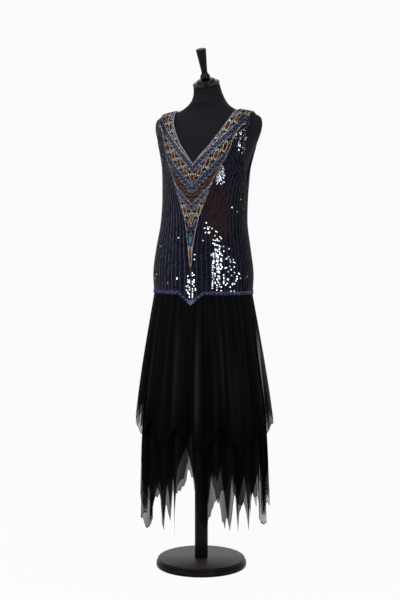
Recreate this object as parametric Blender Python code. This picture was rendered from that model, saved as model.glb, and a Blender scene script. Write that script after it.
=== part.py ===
"""A sleeveless V-neck dress with a dropped waist on a limbless dress form and its stand.

Metres, +Z up. The stand's underside rests on Z = 0 with the pole on the Z axis, the front
faces -Y, and +X is to the right of someone who looks at the front.
"""

import math

import bmesh
import bpy
import numpy as np

MM = 0.001

# Clearances and walls
SEAM_GAP = 0.3 * MM
BODICE_WALL = 2.4 * MM
CHIFFON_WALL = 1.0 * MM
PANEL_WALL = 2.4 * MM
BAND_WALL = 2.6 * MM
BAND_FLARE = 2.2 * MM
BAND_BELOW = 5 * MM
BAND_ABOVE = 7 * MM
PIPING_RADIUS = 1.8 * MM
PIPING_GAP = 0.5 * MM
PIPING_LIFT = 0.6 * MM
PIPING_SIDES = 6

# Stand
POLE_RADIUS = 22 * MM
POLE_SEGMENTS = 24
BASE_SEGMENTS = 40
BASE_PROFILE = [  # radius, height
    (150 * MM, 0.0),
    (151 * MM, 2 * MM),
    (151 * MM, 12 * MM),
    (149 * MM, 14.5 * MM),
    (145 * MM, 15 * MM),
    (146.5 * MM, 17 * MM),
    (146.5 * MM, 23 * MM),
    (143 * MM, 25.5 * MM),
]

# Form: superellipse sections, each with a height, half the width, the Y of its side line, the Y at
# the centre front and centre back, and the power that makes the section full or pointed
FORM_SECTIONS = [
    # height, half_width, side_y, front_y, back_y, power
    (0.800, 0.142, 0.016, -0.070, 0.104, 2.15),
    (0.812, 0.152, 0.016, -0.078, 0.112, 2.15),
    (0.860, 0.161, 0.015, -0.085, 0.117, 2.15),
    (0.920, 0.163, 0.015, -0.086, 0.117, 2.15),
    (0.975, 0.165, 0.015, -0.086, 0.117, 2.15),
    (1.060, 0.153, 0.017, -0.088, 0.116, 2.15),
    (1.140, 0.137, 0.023, -0.079, 0.123, 2.15),
    (1.200, 0.135, 0.030, -0.075, 0.135, 2.15),
    (1.270, 0.137, 0.038, -0.073, 0.145, 2.15),
    (1.333, 0.144, 0.044, -0.070, 0.156, 2.15),
    (1.380, 0.157, 0.051, -0.061, 0.159, 2.15),
    (1.425, 0.177, 0.057, -0.045, 0.153, 2.10),
    (1.455, 0.187, 0.060, -0.029, 0.144, 1.95),
    (1.477, 0.1885, 0.061, -0.014, 0.136, 1.75),
    (1.493, 0.181, 0.062, -0.002, 0.128, 1.60),
    (1.502, 0.164, 0.062, 0.004, 0.122, 1.50),
    (1.508, 0.140, 0.062, 0.008, 0.118, 1.50),
    (1.513, 0.114, 0.062, 0.010, 0.116, 1.55),
    (1.525, 0.085, 0.063, 0.011, 0.116, 1.85),
]
NECK_SECTIONS = [
    # height, radius, centre_y, tilt in degrees
    (1.544, 0.0610, 0.064, 4),
    (1.563, 0.0510, 0.060, 11),
    (1.584, 0.0456, 0.052, 18),
    (1.601, 0.0432, 0.044, 24),
]
FORM_SEGMENTS = 36

# Neck cap and finial turn about the neck's own leaning axis
CAP_SEGMENTS = 28
FINIAL_SEGMENTS = 22
NECK_TILT = math.radians(24)
CAP_PROFILE = [  # radius, height above the neck
    (43.0 * MM, 0.0),
    (44.5 * MM, 2.0 * MM),
    (44.5 * MM, 5.0 * MM),
    (41.0 * MM, 6.5 * MM),
    (33.0 * MM, 9.0 * MM),
    (31.0 * MM, 14.0 * MM),
    (24.0 * MM, 17.5 * MM),
    (13.0 * MM, 18.5 * MM),
]
FINIAL_PROFILE = [  # radius, height above the cap
    (12.5 * MM, 0.0),
    (15.0 * MM, 3.5 * MM),
    (15.6 * MM, 8.0 * MM),
    (14.0 * MM, 13.0 * MM),
    (10.6 * MM, 17.5 * MM),
    (8.8 * MM, 22.0 * MM),
    (8.6 * MM, 27.0 * MM),
    (9.8 * MM, 42.0 * MM),
    (12.2 * MM, 64.0 * MM),
    (15.4 * MM, 91.0 * MM),
    (15.2 * MM, 95.0 * MM),
    (13.0 * MM, 96.0 * MM),
]

ROUNDNESS = 2.15

# Dress: ease is what the cloth's inner face stands clear of the form at each height
EASE_ROWS = [
    # height, ease
    (0.86, 1.6 * MM),
    (0.975, 3.2 * MM),
    (1.06, 4.0 * MM),
    (1.14, 6.0 * MM),
    (1.20, 5.0 * MM),
    (1.27, 4.5 * MM),
    (1.333, 2.4 * MM),
    (1.44, 2.2 * MM),
    (1.485, 2.6 * MM),
    (1.50, 1.5 * MM),
    (1.515, 0.8 * MM),
    (1.535, 0.8 * MM),
]
ROOF_START = 1.42
ROOF_END = 1.47
RIDGE_LOW = 1.480
RIDGE_HIGH = 1.530

# Edges of the bodice, in the row order of the tables: where each point lies across and up
SEAM_HEIGHT = 0.918
SEAM_DIP = 34 * MM
SEAM_DIP_HALF_WIDTH = 44 * MM
ARMPIT_HEIGHT = 1.275
STRAP_INNER = 0.112
STRAP_OUTER = 0.160
V_NECK_ROWS = [
    # across, height
    (0.000, 1.331),
    (0.016, 1.351),
    (0.032, 1.372),
    (0.052, 1.395),
    (0.078, 1.436),
    (0.096, 1.470),
]
BACK_NECK_ROWS = [
    (0.000, 1.440),
    (0.040, 1.443),
    (0.075, 1.456),
    (0.098, 1.478),
]
ARMHOLE_ROWS = [
    # across, height, from the armpit up
    (0.1455, 1.320),
    (0.1500, 1.375),
    (0.1570, 1.424),
    (0.1625, 1.476),
]
PANEL_OUTER_ROWS = [
    # height, half the width of the beaded panel
    (1.005, 0.003),
    (1.060, 0.007),
    (1.129, 0.018),
    (1.220, 0.041),
    (1.285, 0.068),
    (1.368, 0.107),
    (1.424, 0.124),
    (1.470, 0.146),
]
PANEL_STRAP_HEIGHT = 1.462
PANEL_SIDE_SHARE = 0.62
PANEL_SIDE_LIMIT = 0.93

# The columns of every piece run round the body in even steps from the centre front
TURN_STEPS = 96
STRAP_INNER_STEP = 11
STRAP_OUTER_STEP = 17
ROWS_BELOW_PANEL = 8
ROWS_UNDER_PANEL = 6
BACK_ROWS = 12
UPWARD_BIAS = 1.5
EDGE_BIAS = 1.45

# Skirt: how far the cloth stands out at each height, for the tier on top and the one below it
UPPER_TIER_SECTIONS = [
    # height, half_width, side_y, front_y, back_y
    (0.430, 0.234, 0.022, -0.128, 0.170),
    (0.500, 0.229, 0.022, -0.126, 0.168),
    (0.560, 0.223, 0.021, -0.122, 0.162),
    (0.690, 0.206, 0.018, -0.112, 0.148),
    (0.820, 0.185, 0.016, -0.100, 0.132),
]
LOWER_TIER_SECTIONS = [
    (0.080, 0.219, 0.026, -0.106, 0.160),
    (0.250, 0.214, 0.025, -0.108, 0.158),
    (0.440, 0.206, 0.022, -0.106, 0.150),
    (0.560, 0.199, 0.021, -0.103, 0.144),
    (0.690, 0.187, 0.018, -0.099, 0.134),
    (0.820, 0.174, 0.016, -0.094, 0.125),
]
FOLDS = 24
FOLD_WARP = ((2, 0.010), (4, -0.006), (6, 0.003))
FOLD_UNEVENNESS = (  # waves in a turn, share of the fold depth, shift in turns
    (5, 0.30, -0.25),
    (7, 0.22, 0.0),
)
FOLD_GROWTH = 2.2
FOLD_GROWTH_POWER = 1.3
LEVEL_BIAS = 0.9
UPPER_FOLD_DEPTH = 8.5 * MM
LOWER_FOLD_DEPTH = 10.0 * MM
LOWER_ROWS = 6
UPPER_ROWS = 5
# Hems, from the centre front round to the right, back and left in steps of a column
LOWER_HEM = [
    # step, height
    (0, 0.345),
    (3, 0.165),
    (6, 0.261),
    (9, 0.140),
    (10, 0.256),
    (12, 0.152),
    (13, 0.237),
    (14, 0.157),
    (16, 0.261),
    (18, 0.238),
    (21, 0.152),
    (25, 0.250),
    (28, 0.168),
    (30, 0.262),
    (33, 0.150),
    (35, 0.270),
    (38, 0.186),
    (40, 0.286),
    (43, 0.160),
    (45, 0.274),
    (48, 0.178),
    (50, 0.268),
    (53, 0.160),
    (55, 0.290),
    (58, 0.192),
    (60, 0.262),
    (63, 0.150),
    (65, 0.240),
    (68, 0.142),
    (70, 0.230),
    (73, 0.165),
    (78, 0.240),
    (83, 0.131),
    (85, 0.181),
    (86, 0.142),
    (87, 0.251),
    (90, 0.127),
    (91, 0.219),
    (93, 0.114),
    (94, 0.260),
    (95, 0.318),
    (96, 0.360),
]
UPPER_HEM = [
    (0, 0.470),
    (3, 0.405),
    (7, 0.500),
    (12, 0.385),
    (15, 0.490),
    (20, 0.440),
    (24, 0.530),
    (28, 0.455),
    (33, 0.545),
    (37, 0.400),
    (41, 0.492),
    (45, 0.372),
    (48, 0.470),
    (52, 0.360),
    (56, 0.476),
    (61, 0.384),
    (66, 0.500),
    (70, 0.440),
    (73, 0.530),
    (77, 0.462),
    (80, 0.540),
    (84, 0.425),
    (87, 0.500),
    (91, 0.400),
    (94, 0.480),
    (96, 0.450),
]
SLIT_ROWS = [
    # height, half the opening between the front pieces
    (0.20, 19 * MM),
    (0.33, 10 * MM),
    (0.45, 4.5 * MM),
    (0.58, 1.2 * MM),
    (0.66, 0.0),
]
SLIT_REACH = 60 * MM
SIDE_ACROSS = 0.1
BODY_CENTRE_Y = 0.02

JERSEY = (0.012, 0.012, 0.013)
LACQUER = (0.008, 0.008, 0.009)
SEQUIN_BLACK = (0.018, 0.018, 0.024)
BEAD_LILAC = (0.150, 0.155, 0.330)
PANEL_TAN = (0.200, 0.130, 0.095)
PIPING_GREY = (0.300, 0.300, 0.340)
CHIFFON = (0.010, 0.010, 0.012)


def clear_scene():
    for thing in list(bpy.data.objects):
        bpy.data.objects.remove(thing, do_unlink=True)


def make_material(name, colour, roughness, metallic):
    material = bpy.data.materials.new(name)
    material.use_nodes = True
    shader = material.node_tree.nodes["Principled BSDF"]
    shader.inputs["Base Color"].default_value = (*colour, 1.0)
    shader.inputs["Roughness"].default_value = roughness
    shader.inputs["Metallic"].default_value = metallic
    return material


def smooth_step(value, start, end):
    share = np.clip((value - start) / (end - start), 0.0, 1.0)
    return share * share * (3.0 - 2.0 * share)


def column_of(rows, heights, index):
    """One column of a table of rows sorted by their first value, eased between its rows."""
    table = np.array(rows)
    keys = table[:, 0]
    values = table[:, index]
    slopes = np.gradient(values, keys)
    heights = np.clip(heights, keys[0], keys[-1])
    low = np.clip(np.searchsorted(keys, heights, side="right") - 1, 0, len(keys) - 2)
    span = keys[low + 1] - keys[low]
    step = (heights - keys[low]) / span
    start_weight = 2 * step**3 - 3 * step**2 + 1
    start_slope = step**3 - 2 * step**2 + step
    end_slope = step**3 - step**2
    return (
        start_weight * values[low]
        + start_slope * span * slopes[low]
        + (1 - start_weight) * values[low + 1]
        + end_slope * span * slopes[low + 1]
    )


def section_at(rows, heights):
    """Half width, side line, centre front and centre back at these heights."""
    return tuple(column_of(rows, heights, index) for index in (1, 2, 3, 4))


def lifted_height(heights, stand_off):
    """Ease and stand-off at a height of the dress, and the form's height that it covers."""
    growth = column_of(EASE_ROWS, heights, 1) + stand_off
    return growth, heights - growth * smooth_step(heights, ROOF_START, ROOF_END)


def dress_section(heights, stand_off):
    """The form's section grown by the ease and the stand-off, and lifted by as much on the shoulder."""
    growth, lifted = lifted_height(heights, stand_off)
    half_width, side_y, front_y, back_y = section_at(FORM_SECTIONS, lifted)
    return half_width + growth, side_y, front_y - growth, back_y + growth


def section_power(heights, stand_off):
    return column_of(FORM_SECTIONS, lifted_height(heights, stand_off)[1], 5)


def ridge_height(across, stand_off):
    """Height of the shoulder's top line above a point this far across."""
    heights = np.linspace(RIDGE_LOW, RIDGE_HIGH, 400)
    half_width = dress_section(heights, stand_off)[0]
    return np.interp(-across, -half_width, heights)


def surface_y(across, heights, facing, stand_off):
    """Y of the dress surface; facing is -1 for the front and 1 for the back."""
    half_width, side_y, front_y, back_y = dress_section(heights, stand_off)
    depth = np.where(facing < 0, side_y - front_y, back_y - side_y)
    power = section_power(heights, stand_off)
    share = np.clip(np.abs(across) / half_width, 0.0, 1.0)
    return side_y + facing * depth * (1.0 - share**power) ** (1.0 / power)


def seam_height(across, facing):
    """The dropped waist's seam, which dips to a point at the centre front."""
    dip = np.clip(1.0 - np.abs(across) / SEAM_DIP_HALF_WIDTH, 0.0, 1.0)
    return SEAM_HEIGHT - SEAM_DIP * dip * (facing < 0)


def edge_place(rows, share, facing, stand_off):
    """Across and height at a share of an edge's length, in steps that shorten towards the shoulder."""
    table = np.array(rows)
    keys = np.linspace(0.0, 1.0, len(rows))
    fine = np.sin(np.linspace(0.0, math.pi / 2, 800))
    across = np.interp(fine, keys, table[:, 0])
    heights = np.interp(fine, keys, table[:, 1])
    points = np.stack([across, surface_y(across, heights, facing, stand_off), heights], axis=1)
    steps = np.linalg.norm(np.diff(points, axis=0), axis=1)
    length = np.concatenate([[0.0], np.cumsum(steps)])
    wanted = length[-1] * (1.0 - (1.0 - share) ** EDGE_BIAS)
    return float(np.interp(wanted, length, across)), float(np.interp(wanted, length, heights))


def section_angle(across, heights, stand_off):
    """Angle whose point on the superellipse section lies this far across."""
    half_width = dress_section(heights, stand_off)[0]
    power = section_power(heights, stand_off)
    share = np.clip(np.abs(across) / half_width, 0.0, 1.0)
    return np.arcsin(share ** (power / 2.0))


class BodiceEdges:
    """Neckline and armhole of the front or back: each column's top, and the edges at any height."""

    def __init__(self, facing, neck_rows, stand_off):
        self.stand_off = stand_off
        quarter = TURN_STEPS // 4
        strap_across = np.linspace(STRAP_INNER, STRAP_OUTER, STRAP_OUTER_STEP - STRAP_INNER_STEP + 1)
        strap_heights = ridge_height(strap_across, stand_off)
        self.neck_rows = neck_rows + [(STRAP_INNER, strap_heights[0])]
        armpit = dress_section(np.array([ARMPIT_HEIGHT]), stand_off)[0][0]
        self.arm_rows = [(armpit, ARMPIT_HEIGHT)] + ARMHOLE_ROWS + [(STRAP_OUTER, strap_heights[-1])]
        neck = [
            edge_place(self.neck_rows, step / STRAP_INNER_STEP, facing, stand_off)
            for step in range(STRAP_INNER_STEP)
        ]
        span = quarter - STRAP_OUTER_STEP
        arm = [
            edge_place(self.arm_rows, (quarter - step) / span, facing, stand_off)
            for step in range(STRAP_OUTER_STEP + 1, quarter + 1)
        ]
        self.tops = np.array(neck + list(zip(strap_across, strap_heights)) + arm)

    def angles(self, step, heights):
        """Section angle of a column at these heights, evenly shared between the two edges."""
        neck = np.array(self.neck_rows)
        arm = np.array(self.arm_rows)
        inner = section_angle(np.interp(heights, neck[:, 1], neck[:, 0]), heights, self.stand_off)
        outer = section_angle(np.interp(heights, arm[:, 1], arm[:, 0]), heights, self.stand_off)
        outer = np.where(heights >= arm[-1, 1], math.pi / 2, outer)
        outer = np.where(heights <= arm[0, 1], math.pi / 2, outer)
        inner_places = warped_steps(np.arange(STRAP_INNER_STEP + 1))
        outer_places = warped_steps(np.arange(TURN_STEPS // 4, STRAP_INNER_STEP - 1, -1))
        inner_step = np.interp(heights, self.tops[: STRAP_INNER_STEP + 1, 1], inner_places)
        outer_step = np.interp(heights, self.tops[STRAP_INNER_STEP:, 1][::-1], outer_places)
        place = warped_steps(np.array([step]))[0]
        width = np.maximum(outer_step - inner_step, 1e-9)
        share = np.clip((place - inner_step) / width, 0.0, 1.0)
        return inner + (outer - inner) * share


def evenly_spaced(points, count, bias=1.0):
    """A polyline's points, taken again at even steps, or at steps that shorten towards its end."""
    steps = np.linalg.norm(np.diff(points, axis=0), axis=1)
    length = np.concatenate([[0.0], np.cumsum(steps)])
    wanted = length[-1] * (1.0 - np.linspace(1.0, 0.0, count) ** bias)
    return np.stack([np.interp(wanted, length, points[:, axis]) for axis in range(3)], axis=1)


def warped_steps(steps):
    """Steps from the centre, moved a little to where the skirt's folds put the same columns."""
    return turned_angle(steps / TURN_STEPS) / (math.pi / 2) * (TURN_STEPS // 4)


def fine_column(step, facing, edges):
    """Closely spaced points of one column of the bodice, from the waist's seam to the top edge."""
    stand_off = edges.stand_off
    hip_angle = edges.angles(abs(step), np.array([SEAM_HEIGHT]))[0]
    hip_width = dress_section(np.array([SEAM_HEIGHT]), stand_off)[0][0]
    hip_across = math.sin(hip_angle) ** (2.0 / ROUNDNESS) * hip_width
    low = float(seam_height(np.array([hip_across]), facing)[0])
    top_across, high = edges.tops[abs(step)]
    heights = low + (high - low) * np.sin(np.linspace(0.0, math.pi / 2, 500))
    angles = edges.angles(abs(step), heights)
    half_width, side_y, front_y, back_y = dress_section(heights, stand_off)
    power = section_power(heights, stand_off)
    depth = side_y - front_y if facing < 0 else back_y - side_y
    across = half_width * np.sin(angles) ** (2.0 / power)
    y = side_y + facing * depth * np.maximum(np.cos(angles), 0.0) ** (2.0 / power)
    across[-1] = top_across
    y[-1] = surface_y(across[-1:], heights[-1:], facing, stand_off)[0]
    return np.stack([math.copysign(1.0, step) * across, y, heights], axis=1)


def panel_edge_index(fine, step):
    """Where the panel's outer edge crosses a column; past the strap it only spaces the rows."""
    last_side = len(fine) - 1
    if abs(step) > STRAP_OUTER_STEP:
        quarter = TURN_STEPS // 4
        along = (abs(step) - STRAP_OUTER_STEP) / (quarter - STRAP_OUTER_STEP)
        share = PANEL_STRAP_HEIGHT - SEAM_HEIGHT
        share = share / (fine[-1, 2] - SEAM_HEIGHT) * (1 - along) + PANEL_SIDE_SHARE * along
        height = SEAM_HEIGHT + min(share, PANEL_SIDE_LIMIT) * (fine[-1, 2] - SEAM_HEIGHT)
        return int(np.searchsorted(fine[:, 2], height))
    half_width = column_of(PANEL_OUTER_ROWS, fine[:, 2], 1)
    half_width = np.where(fine[:, 2] < PANEL_OUTER_ROWS[0][0], -1.0, half_width)
    inside = np.abs(fine[:, 0]) <= half_width
    inside |= fine[:, 2] >= PANEL_STRAP_HEIGHT
    return int(np.argmax(inside)) if inside.any() else last_side


def front_column(step, edges):
    fine = fine_column(step, -1, edges)
    cut = panel_edge_index(fine, step)
    below = evenly_spaced(fine[: cut + 1], ROWS_BELOW_PANEL + 1, UPWARD_BIAS)
    on_strap = abs(step) <= STRAP_OUTER_STEP + 1
    above = evenly_spaced(fine[cut:], ROWS_UNDER_PANEL + 1, UPWARD_BIAS if on_strap else 1.0)
    return np.concatenate([below, above[1:]])


def back_column(step, edges):
    return evenly_spaced(fine_column(step, 1, edges), BACK_ROWS + 1, UPWARD_BIAS)


def grid_normals(grid, outward_hint):
    """Unit normals of a grid of points, all on the side that the hint gives."""
    along = np.gradient(grid, axis=0)
    across = np.gradient(grid, axis=1)
    normals = np.cross(along, across)
    normals /= np.maximum(np.linalg.norm(normals, axis=2, keepdims=True), 1e-12)
    if np.sum(normals * outward_hint) < 0:
        normals = -normals
    return normals


def wall_object(name, outer, inner, material, smooth=True):
    """A closed wall between two grids of points, with a rim on each of its four sides."""
    rows, columns = outer.shape[:2]
    mesh = bmesh.new()
    faces = []
    layers = []
    for grid in (outer, inner):
        layers.append([[mesh.verts.new(grid[i, j]) for j in range(columns)] for i in range(rows)])
    for i in range(rows - 1):
        for j in range(columns - 1):
            square = [(i, j), (i, j + 1), (i + 1, j + 1), (i + 1, j)]
            faces.append([layers[0][a][b] for a, b in square])
            faces.append([layers[1][a][b] for a, b in reversed(square)])
    rim = [(0, j) for j in range(columns - 1)]
    rim += [(i, columns - 1) for i in range(rows - 1)]
    rim += [(rows - 1, j) for j in range(columns - 1, 0, -1)]
    rim += [(i, 0) for i in range(rows - 1, 0, -1)]
    for start, end in zip(rim, rim[1:] + rim[:1]):
        faces.append(
            [
                layers[0][end[0]][end[1]],
                layers[0][start[0]][start[1]],
                layers[1][start[0]][start[1]],
                layers[1][end[0]][end[1]],
            ]
        )
    for corners in faces:
        mesh.faces.new(corners)
    bmesh.ops.triangulate(mesh, faces=mesh.faces[:], quad_method="SHORT_EDGE")
    return finish_object(name, mesh, material, smooth)


def finish_object(name, mesh, material, smooth=True):
    bmesh.ops.recalc_face_normals(mesh, faces=mesh.faces[:])
    data = bpy.data.meshes.new(name)
    mesh.to_mesh(data)
    mesh.free()
    data.materials.append(material)
    for face in data.polygons:
        face.use_smooth = smooth
    thing = bpy.data.objects.new(name, data)
    bpy.context.scene.collection.objects.link(thing)
    return thing


def rings_object(name, rings, material):
    """A closed solid through rings of points, capped flat at both ends."""
    mesh = bmesh.new()
    loops = [[mesh.verts.new(point) for point in ring] for ring in rings]
    for lower, upper in zip(loops, loops[1:]):
        count = len(lower)
        for k in range(count):
            after = (k + 1) % count
            mesh.faces.new([lower[k], lower[after], upper[after], upper[k]])
    mesh.faces.new(list(reversed(loops[0])))
    mesh.faces.new(loops[-1])
    return finish_object(name, mesh, material)


def round_ring(radius, height, segments):
    turns = np.linspace(0.0, 2 * math.pi, segments, endpoint=False)
    return np.stack([radius * np.sin(turns), -radius * np.cos(turns), np.full(segments, height)], axis=1)


def leaning(points, pivot, angle):
    """Points given about the origin, leant forward by the angle and set on the pivot."""
    cos, sin = math.cos(angle), math.sin(angle)
    turned = np.stack(
        [points[:, 0], cos * points[:, 1] - sin * points[:, 2], sin * points[:, 1] + cos * points[:, 2]],
        axis=1,
    )
    return turned + np.array(pivot)


def build_stand(material):
    base_rings = [round_ring(radius, height, BASE_SEGMENTS) for radius, height in BASE_PROFILE]
    rings_object("stand_base", base_rings, material)
    base_top = BASE_PROFILE[-1][1] + SEAM_GAP
    pole_top = FORM_SECTIONS[0][0] - SEAM_GAP
    pole_rings = [round_ring(POLE_RADIUS, height, POLE_SEGMENTS) for height in (base_top, pole_top)]
    rings_object("stand_pole", pole_rings, material)


def form_ring(height, half_width, side_y, front_y, back_y, power):
    turns = np.linspace(0.0, 2 * math.pi, FORM_SEGMENTS, endpoint=False)
    sine, cosine = np.sin(turns), np.cos(turns)
    depth = np.where(cosine > 0, side_y - front_y, back_y - side_y)
    x = half_width * np.sign(sine) * np.abs(sine) ** (2.0 / power)
    y = side_y - depth * np.sign(cosine) * np.abs(cosine) ** (2.0 / power)
    return np.stack([x, y, np.full(FORM_SEGMENTS, height)], axis=1)


def build_form(jersey, lacquer):
    rings = [form_ring(*row) for row in FORM_SECTIONS]
    for height, radius, centre_y, tilt in NECK_SECTIONS:
        flat = round_ring(radius, 0.0, FORM_SEGMENTS)
        rings.append(leaning(flat, (0.0, centre_y, height), math.radians(tilt)))
    rings_object("form_torso", rings, jersey)
    height, _, centre_y, _ = NECK_SECTIONS[-1]
    axis = np.array([0.0, -math.sin(NECK_TILT), math.cos(NECK_TILT)])
    seat = np.array([0.0, centre_y, height]) + axis * SEAM_GAP
    cap = [leaning(round_ring(r, h, CAP_SEGMENTS), seat, NECK_TILT) for r, h in CAP_PROFILE]
    rings_object("neck_cap", cap, lacquer)
    seat = seat + axis * (CAP_PROFILE[-1][1] + SEAM_GAP)
    finial = [leaning(round_ring(r, h, FINIAL_SEGMENTS), seat, NECK_TILT) for r, h in FINIAL_PROFILE]
    rings_object("finial", finial, lacquer)


def bodice_surface(facing):
    """Outer points and unit normals of the bodice's front or back."""
    quarter = TURN_STEPS // 4
    column = front_column if facing < 0 else back_column
    edges = BodiceEdges(facing, V_NECK_ROWS if facing < 0 else BACK_NECK_ROWS, BODICE_WALL)
    grid = np.stack([column(step, edges) for step in range(-quarter, quarter + 1)], axis=1)
    side_y = dress_section(grid[:, :, 2], BODICE_WALL)[1]
    half_gap = SEAM_GAP / 2
    if facing < 0:
        grid[:, :, 1] = np.minimum(grid[:, :, 1], side_y - half_gap)
    else:
        grid[:, :, 1] = np.maximum(grid[:, :, 1], side_y + half_gap)
    grid[0, :, 2] += half_gap
    hint = np.zeros_like(grid)
    hint[:, :, 1] = facing
    normals = grid_normals(grid, hint)
    for axis in (0, 1, 0, 1):
        ends = normals.copy()
        spread = np.roll(normals, 1, axis=axis) + np.roll(normals, -1, axis=axis)
        inside = [slice(None), slice(None)]
        inside[axis] = slice(1, -1)
        ends[tuple(inside)] = (normals + spread / 2)[tuple(inside)]
        normals = ends / np.linalg.norm(ends, axis=2, keepdims=True)
    for column in (0, -1):
        normals[:, column] = [math.copysign(1.0, grid[0, column, 0]), 0.0, 0.0]
    on_ridge = grid[-1, :, 2] > ROOF_END + 0.02
    normals[-1, on_ridge, 1] = 0.0
    normals[0, :, 2] = 0.0
    normals /= np.linalg.norm(normals, axis=2, keepdims=True)
    return grid, normals


def build_bodice(material):
    """Front and back, each a wall between the inner and the outer surface of the dress."""
    for name, facing in (("bodice_front", -1), ("bodice_back", 1)):
        outer, normals = bodice_surface(facing)
        wall_object(name, outer, outer - normals * BODICE_WALL, material)


def build_panel(material):
    """The raised beaded panel, made from the points of the bodice's outer surface moved out."""
    carried, normals = bodice_surface(-1)
    quarter = TURN_STEPS // 4
    columns = slice(quarter - STRAP_OUTER_STEP, quarter + STRAP_OUTER_STEP + 1)
    inner = carried + normals * SEAM_GAP
    outer = carried + normals * (SEAM_GAP + PANEL_WALL)
    rows = slice(ROWS_BELOW_PANEL, None)
    wall_object("beaded_panel", outer[rows, columns], inner[rows, columns], material)


def tube_object(name, path, radius, sides, material):
    """A round tube along a path, its ends closed."""
    tangents = np.gradient(path, axis=0)
    tangents /= np.linalg.norm(tangents, axis=1, keepdims=True)
    ahead = np.cross(tangents, [0.0, 1.0, 0.0])
    ahead /= np.linalg.norm(ahead, axis=1, keepdims=True)
    aside = np.cross(tangents, ahead)
    turns = np.linspace(0.0, 2 * math.pi, sides, endpoint=False)
    rings = [
        point + radius * (np.outer(np.cos(turns), first) + np.outer(np.sin(turns), second))
        for point, first, second in zip(path, ahead, aside)
    ]
    rings_object(name, rings, material)


def build_piping(material):
    """A thin cord along the neckline, lying just off the edge of the cloth."""
    quarter = TURN_STEPS // 4
    columns = slice(quarter - STRAP_INNER_STEP, quarter + STRAP_INNER_STEP + 1)
    for name, facing in (("neck_piping_front", -1), ("neck_piping_back", 1)):
        outer, normals = bodice_surface(facing)
        path = outer[-1, columns] - normals[-1, columns] * BODICE_WALL / 2
        outward = np.cross(normals[-1, columns], np.gradient(path, axis=0))
        outward /= np.linalg.norm(outward, axis=1, keepdims=True)
        middle = len(path) // 2
        outward *= math.copysign(1.0, outward[middle, 2])
        path = path + outward * (PIPING_RADIUS + PIPING_GAP)
        path = path + normals[-1, columns] * PIPING_LIFT
        path[[0, -1], 1] += facing * SEAM_GAP
        tube_object(name, path, PIPING_RADIUS, PIPING_SIDES, material)


def turned_angle(turn):
    """Angle about the body, from the centre front round by +X, of a share of a full turn."""
    warp = sum(size * np.sin(2 * math.pi * count * turn) for count, size in FOLD_WARP)
    return 2 * math.pi * (turn + warp)


def hem_heights(steps, rows):
    """Height of a pointed hem at these steps; a piece that ends at the centre front ends on the last row."""
    table = np.array(rows, dtype=float)
    around = np.where(steps < 0, steps + TURN_STEPS, steps)
    if steps[-1] == 0:
        around[-1] = TURN_STEPS
    return np.interp(around, table[:, 0], table[:, 1])


def tier_sections(rows, inset):
    """The tier's sections, the last of them at the seam: the bodice's own surface, less the inset."""
    half_width, side_y, front_y, back_y = dress_section(np.array([SEAM_HEIGHT]), BODICE_WALL - inset)
    return rows + [(SEAM_HEIGHT, half_width[0], side_y[0], front_y[0], back_y[0])]


def tier_point_grid(sections, steps, hem_rows, fold_depth, rows):
    """Outer surface of a tier, from its hem (first row) to the waist's seam."""
    turns = steps / TURN_STEPS
    angle = turned_angle(turns)
    sine, cosine = np.sin(angle), np.cos(angle)
    cosine = np.where(np.abs(cosine) < 1e-9, 0.0, cosine)
    power = 2.0 / ROUNDNESS
    hip_width = section_at(sections, np.array([SEAM_HEIGHT]))[0][0]
    across_share = np.sign(sine) * np.abs(sine) ** power
    facing = np.where(cosine > 0, -1, 1)
    top = seam_height(hip_width * across_share, facing) - SEAM_GAP / 2
    hem = hem_heights(steps, hem_rows)
    levels = np.linspace(0.0, 1.0, rows + 1) ** LEVEL_BIAS
    heights = hem[None, :] + (top - hem)[None, :] * levels[:, None]
    dip = SEAM_HEIGHT - top - SEAM_GAP / 2
    half_width, side_y, front_y, back_y = section_at(sections, heights + dip[None, :] * levels[:, None])
    depth = np.where(cosine[None, :] > 0, side_y - front_y, back_y - side_y)
    fall = np.clip((SEAM_HEIGHT - heights) / SEAM_HEIGHT, 0.0, 1.0)
    swell = np.clip(fall * FOLD_GROWTH, 0.0, 1.0) ** FOLD_GROWTH_POWER
    wave = np.cos(2 * math.pi * FOLDS * (turns + 0.5 / FOLDS))
    uneven = 1.0 + sum(
        share * np.cos(2 * math.pi * (count * turns + shift)) for count, share, shift in FOLD_UNEVENNESS
    )
    push = fold_depth * swell * (wave * uneven)[None, :]
    x = (half_width + push) * across_share[None, :]
    y = side_y - (depth + push) * (np.sign(cosine) * np.abs(cosine) ** power)[None, :]
    return np.stack([x, y, heights], axis=2)


def open_front(grid, side):
    """Parts the front pieces at the centre front, more and more towards the hem."""
    gap = np.maximum(column_of(SLIT_ROWS, grid[:, :, 2], 1), 0.0) + SEAM_GAP / 2
    near = np.clip(1.0 - np.abs(grid[:, :, 0]) / SLIT_REACH, 0.0, 1.0)
    near = np.where(side * grid[:, :, 0] < 0, 1.0, near)
    grid[:, :, 0] += side * gap * near
    return grid


def seam_trim(grid, facing):
    """Holds a piece half a seam gap on its own side of the side line."""
    half_gap = SEAM_GAP / 2
    for column in (0, -1):
        beyond = np.abs(grid[:, column, 0]) > SIDE_ACROSS
        grid[:, column, 1] += np.where(beyond, facing * half_gap, 0.0)
    return grid


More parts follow.
